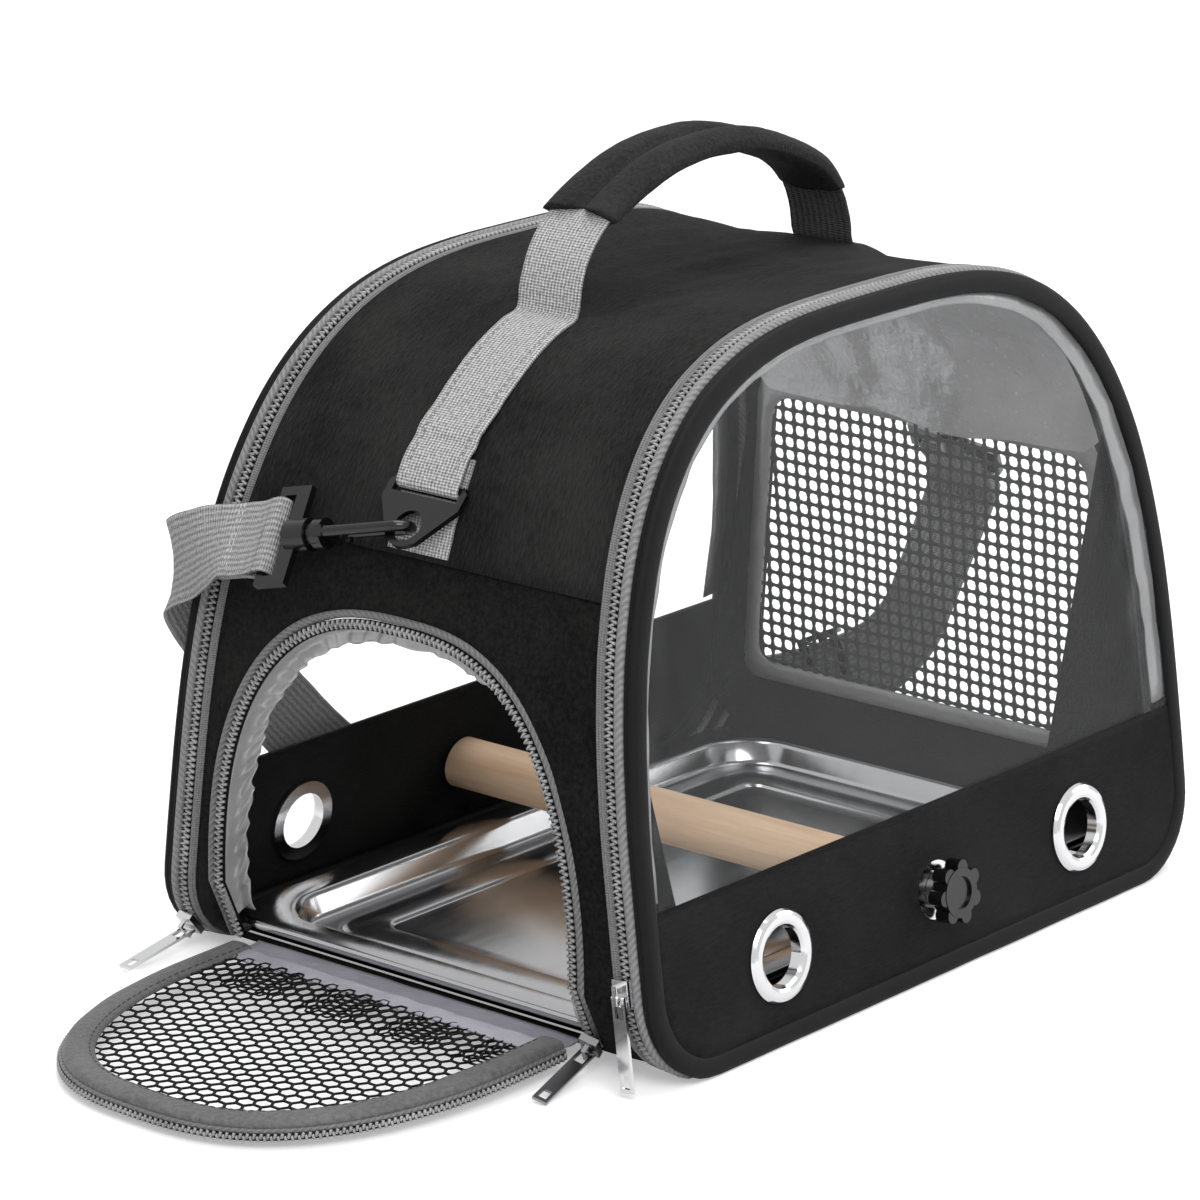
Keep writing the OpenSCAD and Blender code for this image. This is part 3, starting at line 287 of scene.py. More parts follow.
LOOK = {
    # The roof and the walls are one black cloth: the roof's lighter colour is painted light on the lit top,
    # and the walls' darker colour is painted shade.
    "roof": cloth("roof_cloth", (0.0165, 0.0165, 0.016), 0.85, 700.0, 0.0025, 0.02, 0.97, 0.16, THREADS),
    "shell": cloth("shell_cloth", (0.0075, 0.0075, 0.0072), 0.85, 420.0, 0.0016, 0.01, 0.95, 0.12),
    "band": cloth("band_cloth", (0.0092, 0.0092, 0.009), 0.8, 500.0, 0.0006, 0.01, 0.55, 0.13, THREADS),
    "binding": cloth("rim_binding", (0.0045, 0.0045, 0.005), 0.6, 900.0, 0.0002, 0.01, shine=0.18),
    "cord": pleated("pleated_cord", (0.21, 0.21, 0.213)),
    "tape": webbing("zip_tape", (0.17, 0.17, 0.172), 0.0014, 0.0011, 0.0004, 0.35),
    "coil": plastic("zip_coil", (0.3, 0.3, 0.302), 0.24),
    "coil_tape": cloth("zip_coil_tape", (0.006, 0.006, 0.0065), 0.8, sheen=0.01, shine=0.12),
    "piping": pleated("piping_cloth", (0.15, 0.15, 0.152)),
    "lining": satin("lining_satin", (0.46, 0.46, 0.465), 0.22),
    "flange": satin("flange_satin", (0.4, 0.4, 0.4), 0.3),
    "hem": satin("hem_satin", (0.42, 0.41, 0.47), 0.4),
    "film": clear_film("clear_film"),
    "film_edge": satin("film_edge_tape", (0.3, 0.3, 0.303), 0.3),
    "flap": cloth("flap_binding", (0.105, 0.105, 0.104), 0.55, 420.0, 0.0006, 0.15),
    "net": cloth("net_cord", (0.006, 0.006, 0.0065), 0.7, 1500.0, 0.0001, 0.01, shine=0.15),
    "end_net": cloth("end_net_cord", (0.035, 0.035, 0.037), 0.7, 1500.0, 0.0001, 0.1),
    "web": webbing("grey_webbing", (0.45, 0.45, 0.453), 0.0019, 0.0013, 0.0008, 0.6),
    # The right handle webbing is the grey webbing given a dark colour: painted shade on the side away from
    # the light.
    "web_shaded": webbing("shaded_webbing", (0.035, 0.035, 0.036), 0.0034, 0.0012, 0.001, 0.85),
    "web_thread": plastic("web_thread", (0.16, 0.16, 0.165), 0.7),
    "strap": webbing("strap_webbing", (0.33, 0.33, 0.333), 0.003, 0.0011, 0.001, 0.5),
    "grip": cloth("grip_cloth", (0.014, 0.014, 0.0142), 0.78, 500.0, 0.0014, 0.03, 0.8, 0.2),
    "thread": plastic("thread", (0.5, 0.5, 0.5), 0.7),
    "dark_thread": plastic("dark_thread", (0.04, 0.04, 0.04), 0.7),
    "steel": metal("tray_steel", (0.52, 0.52, 0.53), 0.15, 0.0001, (0.3, 2.0, 1.0)),
    "chrome": metal("chrome", (0.78, 0.78, 0.79), 0.09),
    "dark_metal": metal("dark_metal", (0.36, 0.36, 0.37), 0.16),
    "plastic": plastic("black_plastic", (0.004, 0.004, 0.0045), 0.2),
    "wood": wood("perch_wood", (0.95, 0.71, 0.5), (0.74, 0.47, 0.28)),
    "board": plastic("base_board", (0.05, 0.05, 0.052), 0.7),
}

def each(ends, parts):
    """Every part's name at each of the ends."""
    return [f"{end}_{part}" for end in ends.split() for part in parts.split()]


CAD_LOOKS = {
    "chrome": (each("front back", "grommets zip_slider zip_pull hoop_wire")
               + ["knob_washers", "perch_studs"]),
    "dark_metal": ["door_zip_slider", "door_zip_pull"],
    "plastic": (each("front back", "knob") + each("left right", "ring strap_frame hook hook_gate")
                + ["strap_slide", "perch_washers"]),
    "wood": ["perch_dowel"],
    "board": ["base_board"],
}


def finish_cad_nodes():
    for look, nodes in CAD_LOOKS.items():
        for node in nodes:
            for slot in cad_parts[node].material_slots:
                slot.material = LOOK[look]


# ---------- mesh helpers ----------

CLOTH_STEP, FILM_STEP, UNDER_STEP = 6.0, 5.0, 14.0


def finish_mesh(data, weld=0.0):
    """Welds points closer than weld and turns the faces outwards."""
    bm = bmesh.new()
    bm.from_mesh(data)
    if weld:
        bmesh.ops.remove_doubles(bm, verts=bm.verts, dist=weld * MM)
    bmesh.ops.recalc_face_normals(bm, faces=bm.faces)
    bm.to_mesh(data)
    bm.free()


def add_mesh(name, points, faces, look, body="shell", uvs=None, smooth=True):
    data = bpy.data.meshes.new(name)
    data.from_pydata([Vector(p) * MM for p in points], [], faces)
    if uvs:
        layer = data.uv_layers.new(name="UVMap")
        for loop in data.loops:
            layer.data[loop.index].uv = uvs[loop.vertex_index]
    data.materials.append(LOOK[look])
    if smooth:
        data.polygons.foreach_set("use_smooth", [True] * len(data.polygons))
    made = bpy.data.objects.new(name, data)
    bpy.context.collection.objects.link(made)
    finish_mesh(data)
    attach(made, body)
    return made


def thicken(made, thickness, offset=-1.0):
    added = made.modifiers.new("solidify", "SOLIDIFY")
    added.thickness = thickness * MM
    added.offset = offset
    added.use_even_offset = True


def lengths(line):
    """How far along a line each of its points is."""
    out = [0.0]
    for a, b in zip(line, line[1:]):
        out.append(out[-1] + (Vector(b) - Vector(a)).length)
    return out


def sweep(name, rings, look, body="shell", closed_path=False, closed_ring=True, first_cap=True):
    """A skin over rings of as many points each, with UVs in metres. Tubes with two ends are capped."""
    n, k = len(rings), len(rings[0])
    points = [p for ring in rings for p in ring]
    faces = []
    for i in range(n if closed_path else n - 1):
        for j in range(k if closed_ring else k - 1):
            a, b = i * k + j, i * k + (j + 1) % k
            c, d = ((i + 1) % n) * k + j, ((i + 1) % n) * k + (j + 1) % k
            faces.append((a, b, d, c))
    if closed_ring and not closed_path:
        if first_cap:
            faces.append(tuple(range(k))[::-1])
        faces.append(tuple((n - 1) * k + j for j in range(k)))
    along, across = lengths([ring[0] for ring in rings]), lengths(rings[0])
    uvs = [(u * MM, v * MM) for u in along for v in across]
    return add_mesh(name, points, faces, look, body, uvs)


def carry(name, section, line_of, place, look, body="shell", closed_path=False):
    """A skin whose section of (inset, height) points goes along the lines that line_of(inset) gives."""
    lines = [line_of(inset) for inset, _ in section]
    rings = [[place(line[i], height) for (_, height), line in zip(section, lines)]
             for i in range(len(lines[0]))]
    return sweep(name, rings, look, body, closed_path)


def corners_of(outline):
    return [min(p[i] for p in outline) for i in (0, 1)], [max(p[i] for p in outline) for i in (0, 1)]


def sides_of(outline):
    return zip(outline, outline[1:] + outline[:1])


def inside(point, outline):
    x, y = point
    hit = False
    for (x0, y0), (x1, y1) in sides_of(outline):
        if (y0 > y) != (y1 > y) and x < (x1 - x0) * (y - y0) / (y1 - y0) + x0:
            hit = not hit
    return hit


def edge_distance(point, outline):
    p = Vector(point)
    best = 1e9
    for a, b in sides_of(outline):
        start, span = Vector(a), Vector(b) - Vector(a)
        t = max(0.0, min(1.0, (p - start).dot(span) / max(span.length_squared, 1e-9)))
        best = min(best, (p - start - span * t).length)
    return best


def flat_sheet(name, outline, holes, step, place, look):
    """A finely divided sheet inside a flat outline, less its holes, put in space by place(a, b)."""
    def solid(p):
        return inside(p, outline) and not any(inside(p, hole) for hole in holes)

    loops = [outline] + holes
    points, edges = [], []
    for loop in loops:
        first = len(points)
        points += [Vector(p) for p in loop]
        edges += [(first + i, first + (i + 1) % len(loop)) for i in range(len(loop))]
    low, high = corners_of(outline)
    rows = int((high[1] - low[1]) / (step * 0.87)) + 1
    for r in range(1, rows):
        b = low[1] + r * step * 0.87
        a = low[0] + step * (0.5 if r % 2 else 1.0)
        while a < high[0]:
            if solid((a, b)) and min(edge_distance((a, b), loop) for loop in loops) > step * 0.45:
                points.append(Vector((a, b)))
            a += step
    flat, _, faces, *_ = geometry.delaunay_2d_cdt(points, edges, [], 0, 0.001)
    faces = [face for face in faces
             if solid(sum((flat[i] for i in face), Vector((0.0, 0.0))) / len(face))]
    return add_mesh(name, [place(*p) for p in flat], faces, look, uvs=[(a * MM, b * MM) for a, b in flat])


def fall_off(value, start, end):
    """0 up to start, 1 from end on, and straight in between."""
    return max(0.0, min(1.0, (value - start) / (end - start)))


def ripple(p, size, amount):
    """Smooth uneven movement of at most about amount, with waves about size long."""
    return amount * noise.noise(Vector(p) / size)


def resample(path, pitch):
    """Points every pitch along a polyline, with the direction of travel."""
    out, due, gone = [], 0.0, 0.0
    for a, b in zip(path, path[1:]):
        a, b = Vector(a), Vector(b)
        span = (b - a).length
        while due <= gone + span and span > 0:
            out.append((a.lerp(b, (due - gone) / span), (b - a).normalized()))
            due += pitch
        gone += span
    return out


# ---------- the arch ----------

ENDS = ((1, "front"), (-1, "back"))
SIDES = ((-1, "left"), (1, "right"))


def both_ways(half):
    """A line that ends in the middle, carried on by its mirror image."""
    return half + [(-x, z) for x, z in half[-2::-1]]


def curve_at(a, half, low, high, side, top):
    """A point of the quarter superellipse that rises from (half, low) to (0, high)."""
    return half * max(0.0, cos(a)) ** (2 / side), low + (high - low) * sin(a) ** (2 / top)


def arch_at(a, inset):
    return curve_at(a, BODY_W / 2 - inset, ARCH_START, BODY_H - inset, ARCH_SIDE, ARCH_TOP)


def arch_line(inset):
    """From the middle of the right lower corner, over the crown, to the left lower corner."""
    radius = CORNER_R - inset
    turns = [radians(-90.0 + 9.0 * i) for i in range(11)]
    half = [(FOOT + radius * cos(a), CORNER_R + radius * sin(a)) for a in turns]
    return both_ways(half + [arch_at(pi / 2 * i / 44, inset) for i in range(45)])


def outward(x, z, middle=120.0):
    """The way out from the middle of the body, seen from the front."""
    return Vector((x, 0.0, z - middle)).normalized()


def wall_x(z):
    """Half width of the shell at height z."""
    if z < CORNER_R:
        drop = CORNER_R - max(z, 0.0)
        return FOOT + sqrt(max(0.0, CORNER_R ** 2 - drop ** 2))
    if z < ARCH_START:
        return BODY_W / 2
    up = min(1.0, (z - ARCH_START) / (BODY_H - ARCH_START))
    return BODY_W / 2 * (1.0 - up ** ARCH_TOP) ** (1 / ARCH_SIDE)


def panel_y(z, depth):
    """Y of the surface that lies depth inside the front arch panel."""
    return -BODY_D / 2 + z * LEAN_TAN + depth


def at_depth(x, z, depth, side):
    """side is 1 at the front arch and -1 at the back."""
    return Vector((x, side * panel_y(z, depth), z))


def arch_sweep(name, section, side, look, whole=False, wobble=0.0):
    """Carries a section of (inset, depth) points round one arch, and along its foot where it is whole."""
    def line_of(inset):
        line = arch_line(inset)
        return line + [(-FOOT + 2 * FOOT * i / 40, line[0][1]) for i in range(1, 40)] if whole else line

    def place(point, depth):
        x, z = point
        return at_depth(x, max(z, 0.4), depth + ripple((x, z, 40.0 * side), 26.0, wobble), side)

    return carry(name, section, line_of, place, look, "shell", whole)


BAR_PITCH, BAR_W = 1.45, 1.426


def coil(name, rail, width, height, body="shell"):
    """Two slanted rows of rounded coil bars that mesh along a rail of (point, along, across, out)."""
    points, faces = [], []
    for i, (at, along, across, out) in enumerate(rail):
        row = 1 if i % 2 else -1
        slant = (across + along * 0.35 * row).normalized()
        run = slant.cross(out).normalized()
        middle = at + across * width * 0.17 * row
        first = len(points)
        for end in (-0.5, 0.5):
            for a, h in ((-0.5, 0.0), (-0.38, 0.7), (0.0, 1.0), (0.38, 0.7), (0.5, 0.0)):
                points.append(middle + slant * (width * 0.66) * end + run * BAR_W * a + out * height * h)
        faces += [(first + j, first + j + 1, first + 6 + j, first + 5 + j) for j in range(4)]
        faces += [(first, first + 4, first + 9, first + 5), tuple(range(first + 4, first - 1, -1)),
                  tuple(range(first + 5, first + 10))]
    add_mesh(name, points, faces, "coil", body)


def arch_rail(depth, side):
    """Where the bars of an arch's zip coil sit."""
    line = arch_line(0.5)
    path = [at_depth(x, max(z, 2.0), depth, side) for x, z in line]
    rail = []
    for at, along in resample(path, BAR_PITCH):
        across = Vector((0.0, side, 0.0))
        across = (across - along * across.dot(along)).normalized()
        out = along.cross(across) if side > 0 else across.cross(along)
        rail.append((at, along, across, -out if out.dot(outward(at.x, at.z)) < 0 else out))
    return rail


RIM_SECTION = (
    (9.0, 0.7), (7.6, 0.1), (5.0, -0.2), (2.4, 0.0), (0.6, 0.7), (-0.3, 2.0), (-0.2, 3.1), (0.5, 3.7),
    (-0.1, 4.4), (0.0, 5.5), (1.2, 6.1), (4.5, 6.2), (9.0, 5.8))
CORD_SECTION = (
    (1.2, 6.1), (-0.2, 6.2), (-1.2, 6.9), (-1.7, 8.0), (-1.6, 9.2), (-0.9, 10.2), (0.2, 10.6),
    (1.4, 10.6), (3.0, 10.3), (3.0, 6.2))
COIL_SECTION = ((0.6, 10.6), (0.3, 13.3), (0.6, 16.0), (2.4, 16.0), (2.4, 10.6))
EDGE_SECTION = (
    (1.0, 16.1), (-0.1, 16.3), (-0.7, 17.2), (-0.9, 18.4), (-0.8, 19.6), (-0.2, 20.5), (1.0, 20.8),
    (3.2, 20.6), (3.2, 16.2))


def make_arch_edges():
    for side, end in ENDS:
        rim = arch_sweep(f"{end}_rim_binding", RIM_SECTION, side, "binding", True, 0.25)
        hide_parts(f"{end}_rim")
        cord = arch_sweep(f"{end}_pleated_cord", CORD_SECTION, side, "cord", False, 0.3)
        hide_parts(f"{end}_zip_tape")
        bed = arch_sweep(f"{end}_coil_bed", COIL_SECTION, side, "coil_tape")
        coil(f"{end}_coil_teeth", arch_rail(13.3, side), 4.8, 1.7)
        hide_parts(f"{end}_zip_coil")
        edge = arch_sweep(f"{end}_zip_edge_tape", EDGE_SECTION, side, "tape", False, 0.2)
        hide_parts(f"{end}_piping")


# ---------- walls ----------

def wall_edges(z):
    """Y of an end wall's front edge. Its back edge mirrors it."""
    return panel_y(z, ZIP_DEPTH + 0.3)


def door_arch(inset, low):
    """The door's outline as (y, z) about its middle, from its back bottom end over to its front one."""
    steps = 30
    half = [(DOOR_W / 2 - inset, low)]
    half += [curve_at(pi / 2 * i / steps, DOOR_W / 2 - inset, DOOR_START, DOOR_TOP - inset,
                      DOOR_SIDE, DOOR_ARCH) for i in range(steps + 1)]
    return both_ways(half)


def door_line(inset, low):
    return [(y + DOOR_Y, z) for y, z in door_arch(inset, low)]


def wall_point(side, y, z, out):
    """A point on the left (-1) or right (1) end wall, out from its face."""
    slope = atan((wall_x(z - 2.0) - wall_x(z + 2.0)) / 4.0) if z > 3.0 else -1.2
    return Vector((side * (wall_x(z) + out * cos(slope)), y, z + out * sin(slope)))


def wall_bulge(y, z):
    """How far the padded cloth stands off or sinks in between its seams."""
    edge = -wall_edges(z) - abs(y)
    full = fall_off(edge, 0.0, 22.0) * fall_off(SEAM_Z - z, 0.0, 18.0)
    return 0.9 * full + ripple((y, z, 3.0), 55.0, 1.3) * full + ripple((y, z, 9.0), 17.0, 0.35) * full


def wall_outline():
    back = [(-wall_edges(z), z) for z in [*range(2, int(SEAM_Z), 8), SEAM_Z]]
    return back + [(-y, z) for y, z in back[::-1]]


def make_left_wall():
    wall = flat_sheet("left_wall_cloth", wall_outline(), [door_line(1.5, 9.0)], CLOTH_STEP,
                      lambda y, z: wall_point(-1, y, z, wall_bulge(y, z) - 0.4), "shell")
    thicken(wall, WALL_T)
    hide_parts("left_end_wall")


def end_window_line(margin):
    """The mesh window's outline with rounded corners, as (y, z)."""
    low, high = [wall_edges(z) + END_SIDE + margin for z in (END_LOW, END_HIGH)]
    corners = [Vector(p) for p in ((low, END_LOW + margin), (-low, END_LOW + margin),
                                   (-high, END_HIGH - margin), (high, END_HIGH - margin))]
    line = []
    for i, at in enumerate(corners):
        a, b = [at + (end - at).normalized() * END_CORNER for end in (corners[i - 1], corners[(i + 1) % 4])]
        for k in range(6):
            t = k / 5
            line.append(tuple(a * (1 - t) ** 2 + at * 2 * t * (1 - t) + b * t ** 2))
    return line


def make_right_wall():
    wall = flat_sheet("right_wall_cloth", wall_outline(), [end_window_line(0.0)], CLOTH_STEP,
                      lambda y, z: wall_point(1, y, z, wall_bulge(y, z) * 0.6 - 0.4), "shell")
    thicken(wall, WALL_T)
    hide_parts("right_end_wall")


def roof_line(inset, low):
    return [(x, z) for x, z in arch_line(inset) if z >= low - 0.01]


def roof_lift(x, y, z, t):
    """How far the roof stands over its line: it sags between the arches, but is held under the webbing."""
    low = fall_off(z, SEAM_Z - 4.0, SEAM_Z + 14.0)
    held = fall_off(32.0 - abs(y), 0.0, 12.0) * fall_off(abs(x), 82.0, 100.0)
    sag = 2.6 + 3.4 * fall_off(92.0 - abs(x), 0.0, 45.0)
    lift = -sag * (1.0 - t * t) + (1.0 - t ** 4) * (ripple((x, y, z), 60.0, 2.6)
                                                    + ripple((x * 0.5, y * 2.0, z), 24.0, 1.5))
    return lift * low * (1.0 - held)


def roof_skin(name, line, gap, rows, off, look):
    """A skin along the roof's line, from arch to arch. off(x, y, z, t) says how far it stands out."""
    rings = []
    for x, z in line:
        out = outward(x, z, 110.0)
        ring = []
        for j in range(rows + 1):
            t = 2.0 * j / rows - 1.0
            y = t * (-wall_edges(z) - gap)
            ring.append(Vector((x, y, z)) + out * off(x, y, z, t))
        rings.append(ring)
    return sweep(name, rings, look, closed_ring=False)


def make_roof():
    def lift(x, y, z, t):
        return roof_lift(x, y, z, t) + 0.7 * fall_off(SEAM_Z + 14.0 - z, 0.0, 18.0)

    roof = roof_skin("roof_cloth", roof_line(-0.5, SEAM_Z - 3.0), 0.0, 44, lift, "roof")
    thicken(roof, ROOF_T)
    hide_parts("roof_panel")
    make_roof_lining()


def make_roof_lining():
    """Loose pale lining under the roof."""
    def hang(x, y, z, t):
        fold = 2.6 + ripple((x, y, 5.0), 52.0, 7.0) + ripple((x + t * 30.0, y * 0.4, 8.0), 19.0, 2.4)
        return -max(0.0, (1.0 - t ** 6) * max(0.0, fold) - roof_lift(x, y, z, t))

    line = roof_line(5.5, SEAM_Z - 12.0)
    lining = roof_skin("roof_lining_cloth", line, 1.0, 40, hang, "lining")
    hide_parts("roof_lining")
    length = lengths(line)[-1]


def make_underside():
    a, b = FOOT - 0.3, panel_y(0, 6.3)
    outline = [(-a, b), (a, b), (a, -b), (-a, -b)]
    under = flat_sheet("underside_cloth", outline, [], UNDER_STEP,
                       lambda x, y: Vector((x, y, 2.6)), "shell")
    thicken(under, ROOF_T)
    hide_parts("bottom_panel")


# ---------- arch panels ----------

def circle_line(x, radius, count=40):
    """A hole of the band, at the height of the perch."""
    turns = [2 * pi * i / count for i in range(count)]
    return [(x + radius * cos(a), PERCH_Z + radius * sin(a)) for a in turns]


def band_at(x, z, side):
    """Cloth that moves in and out between its seams, the eyelets and the stud."""
    free = fall_off(BAND_H - z, 0.0, 8.0)
    for middle in (-GROMMET_X, GROMMET_X):
        free *= fall_off(hypot(x - middle, z - PERCH_Z), 17.0, 32.0)
    free *= fall_off(hypot(x, z - PERCH_Z), 8.0, 24.0)
    puff = ripple((x, z, 20.0 * side), 38.0, 0.9) - 0.6
    return at_depth(x, z, PANEL_DEPTH + puff * free, side)


def film_at(x, z, side):
    """Clear sheet that puckers towards its seam, most at the sides."""
    away = wall_x(z) - RIM_W - abs(x)
    near = 1.0 - fall_off(away, 0.0, 42.0)
    pinned = fall_off(away, -2.0, 7.0)
    depth = 2.8 + ripple((x, z, 70.0 * side), 80.0, 0.8)
    depth += near * pinned * (ripple((x * 0.8, z * 0.35, 9.0 * side), 9.0, 2.4)
                              + ripple((x * 0.5, z, 31.0 * side), 17.0, 1.8))
    return at_depth(x, z, max(1.7, depth), side)


def make_panels():
    """The clear windows and the cloth bands under them."""
    inner = arch_line(RIM_W - 1.0)
    right = [p for p in inner if p[0] >= 0]
    left = [p for p in inner if p[0] < 0]
    seams = [(wall_x(z) - RIM_W + 1.0, z) for z in (BAND_H, BAND_H - 4.0)]
    (band_seam, band_far), (film_seam, film_far) = [((x, z), (-x, z)) for x, z in seams]
    low = [p for p in right if p[1] < BAND_H] + [band_seam, band_far] + [p for p in left if p[1] < BAND_H]
    high = [film_seam] + [p for p in right + left if p[1] >= BAND_H] + [film_far]
    holes = [circle_line(s * GROMMET_X, GROMMET_HOLE) for s in (-1, 1)]
    holes.append(circle_line(0.0, STUD_HOLE / 2 + 1.0, 20))
    for side, end in ENDS:
        band = flat_sheet(f"{end}_band_cloth", low, holes, CLOTH_STEP, partial(band_at, side=side), "band")
        thicken(band, BAND_T)
        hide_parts(f"{end}_band")

        film = flat_sheet(f"{end}_clear_film", high, [], FILM_STEP, partial(film_at, side=side), "film")
        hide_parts(f"{end}_window")
        make_film_edge(end, side)


def make_film_edge(end, side):
    """The grey tape that shows inside the clear sheet, round the edge of the window."""
    section = ((3.4, 8.5, 8.5), (3.1, 11.5, 14.5), (3.4, 13.5, 20.0), (4.2, 13.8, 20.5), (4.2, 8.5, 8.5))
    lines = [(depth, arch_line(narrow), arch_line(broad)) for depth, narrow, broad in section]
    rings = []
    for i, (_, height) in enumerate(arch_line(section[0][1])):
        if height < BAND_H - 2.0:
            continue
        ring = []
        for depth, narrow, broad in lines:
            share = fall_off(narrow[i][0], 60.0, 170.0) * (0.85 + ripple((*narrow[i], 9.0), 14.0, 0.3))
            x, z = Vector(narrow[i]).lerp(Vector(broad[i]), share)
            ring.append(at_depth(x, z, depth + ripple((x, z, 4.0), 13.0, 1.1), side))
        rings.append(ring)
    sweep(f"{end}_window_edge_tape", rings, "film_edge")


# ---------- door opening ----------

DOOR_PIPING_SECTION = (
    (0.2, -2.0), (0.0, 0.4), (0.7, 1.5), (1.8, 1.8), (3.0, 1.2), (3.7, 0.1), (3.7, -2.5))
DOOR_COIL_SECTION = ((4.0, -1.4), (4.0, -0.1), (6.2, 0.2), (8.6, -0.1), (8.6, -1.4))


def opening_sweep(name, section, look):
    """Carries (inset, out) points round the door opening on the curved left wall."""
    return carry(name, section, lambda inset: door_line(inset, DOOR_LOW),
                 lambda point, out: wall_point(-1, *point, out), look)


def make_opening():
    """The trim round the door opening: piping, zip coil and lining."""
    piping = opening_sweep("door_piping_cord", DOOR_PIPING_SECTION, "piping")
    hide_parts("door_piping")
    bed = opening_sweep("door_coil_bed", DOOR_COIL_SECTION, "coil_tape")
    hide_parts("door_frame_coil")
    path = [wall_point(-1, y, z, 0.1) for y, z in door_line(6.2, DOOR_LOW)]
    rail = []
    for at, along in resample(path, BAR_PITCH):
        out = Vector((-1.0, 0.0, 0.0)) if at.z > 40 else Vector((-wall_x(at.z) + 159.0, 0.0, at.z - 41.0))
        out = (out - along * out.dot(along)).normalized()
        rail.append((at, along, along.cross(out).normalized(), out))
    coil("door_frame_teeth", rail, 4.4, 1.6)
    make_flange()


def make_flange():
    """The crinkled lining that turns in round the opening."""
    low, pitch, steps = 20.0, 0.8, 10
    tip = door_line(16.5, low)
    base = resample([(y, z, 0.0) for y, z in door_line(7.7, low)], pitch)
    rings = []
    for i, (p, _) in enumerate(base):
        share = i / (len(base) - 1) * (len(tip) - 1)
        k = min(int(share), len(tip) - 2)
        q = Vector((*tip[k], 0.0)).lerp(Vector((*tip[k + 1], 0.0)), share - k)
        arc = i * pitch
        ring = []
        for j in range(steps + 1):
            t = j / steps
            scallop = 0.8 + ripple((arc, 3.0, 0.0), 22.0, 0.22) + 0.05 * sin(arc / 2.4)
            flat = p.lerp(q, max(0.0, t - 0.35) / 0.65 * scallop)
            deep = 1.0 + 9.0 * min(1.0, t / 0.45)
            pleat = sin(arc / 1.5 + 2.2 * noise.noise(Vector((arc / 12.0, 2.0, 0.0)))) * 0.7
            pleat += ripple((arc, t * 12.0, 7.0), 9.0, 1.2)
            ring.append(wall_point(-1, flat.x, flat.y, -deep + pleat * fall_off(t, 0.1, 0.6)))
        rings.append(ring)
    flange = sweep("door_flange_lining", rings, "flange", closed_ring=False)
    thicken(flange, 0.6)
    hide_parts("door_lining")


# ---------- door flap ----------

CELL_PITCH, CELL_STRAND = 6.8, 1.3
FLAP_SECTION = (
    (4.0, -0.9), (2.6, -0.2), (2.2, 1.2), (2.5, 2.7), (3.8, 3.7), (6.0, 4.1), (10.0, 4.2), (13.2, 3.9),
    (15.0, 3.4), (15.6, 2.4), (15.4, 1.0), (14.0, 0.2), (9.0, -0.6))
FLAP_COIL_SECTION = ((0.8, -1.2), (0.6, -3.8), (4.0, -4.0), (6.0, -3.4), (6.0, -1.0))
FLAP_EDGE_SECTION = ((2.8, -1.1), (1.4, -1.1), (0.9, -0.2), (1.3, 0.8), (2.8, 0.9))


def flap_point(d, y, z):
    """d from the hinge to the tip, y across, z the height of the face that turns inwards."""
    c, s = cos(DOOR_TILT), sin(DOOR_TILT)
    return Vector((HINGE.x - d * c - z * s, y + DOOR_Y, HINGE.z - d * s + z * c))


def flap_line(inset, low=0.6):
    """The edge of the flap as (d, y)."""
    return [(z - HINGE.z, y) for y, z in door_arch(FLAP_INSET + inset, low + HINGE.z)]


def flap_sweep(name, section, look, wobble=0.0):
    """Carries (inset, height) points round the edge of the flap."""
    def place(point, z):
        return flap_point(*point, z + ripple((*point, z), 22.0, wobble))

    return carry(name, section, flap_line, place, look, "door")


def net(name, outline, centres, outer, inner, place, look, body, thickness, weld=0.0):
    """Cells round the centres inside an outline, each a ring of flat strands from outer to inner points."""
    points, faces, count = [], [], len(outer)
    for a, b in centres:
        if inside((a, b), outline):
            first = len(points)
            points += [place(a + x, b + y) for x, y in outer + inner]
            for k in range(count):
                n = (k + 1) % count
                faces.append((first + k, first + n, first + count + n, first + count + k))
    made = add_mesh(name, points, faces, look, body, smooth=False)
    if weld:
        finish_mesh(made.data, weld)
    thicken(made, thickness, 0.0)
    return made


def hex_net(name, outline, pitch, strand, place, stretch):
    """A knotted net of six-sided cells."""
    side = pitch / sqrt(3.0)
    low, high = corners_of(outline)
    rows = int((high[1] - low[1]) / (1.5 * side * stretch)) + 2
    columns = int((high[0] - low[0]) / pitch) + 2
    centres = [(low[0] + (c + (0.5 if r % 2 else 0.0)) * pitch, low[1] + r * 1.5 * side * stretch)
               for r in range(-1, rows) for c in range(-1, columns)]
    turns = [radians(60.0 * k + 30.0) for k in range(6)]
    rings = [[(side * scale * cos(t), side * scale * sin(t) * stretch) for t in turns]
             for scale in (1.0, 1.0 - strand / pitch)]
    return net(name, outline, centres, *rings, place, "net", "door", 0.7, 0.05)


def square_net(name, outline, place):
    """A knitted net of square cells with rounded holes."""
    low, high = corners_of(outline)
    columns, rows = [int((high[i] - low[i]) / CELL_PITCH) + 1 for i in (0, 1)]
    centres = [(low[0] + (c + 0.5) * CELL_PITCH, low[1] + (r + 0.5) * CELL_PITCH)
               for r in range(rows) for c in range(columns)]
    outer, inner = [], []
    for k in range(8):
        x, y = cos(radians(45.0 * k)), sin(radians(45.0 * k))
        reach = CELL_PITCH / 2 / max(abs(x), abs(y))
        outer.append((x * reach, y * reach))
        reach = (CELL_PITCH - CELL_STRAND) / 2 * (1.12 if k % 2 else 1.0)
        inner.append((x * reach, y * reach))
    return net(name, outline, centres, outer, inner, place, "end_net", "shell", 0.8)


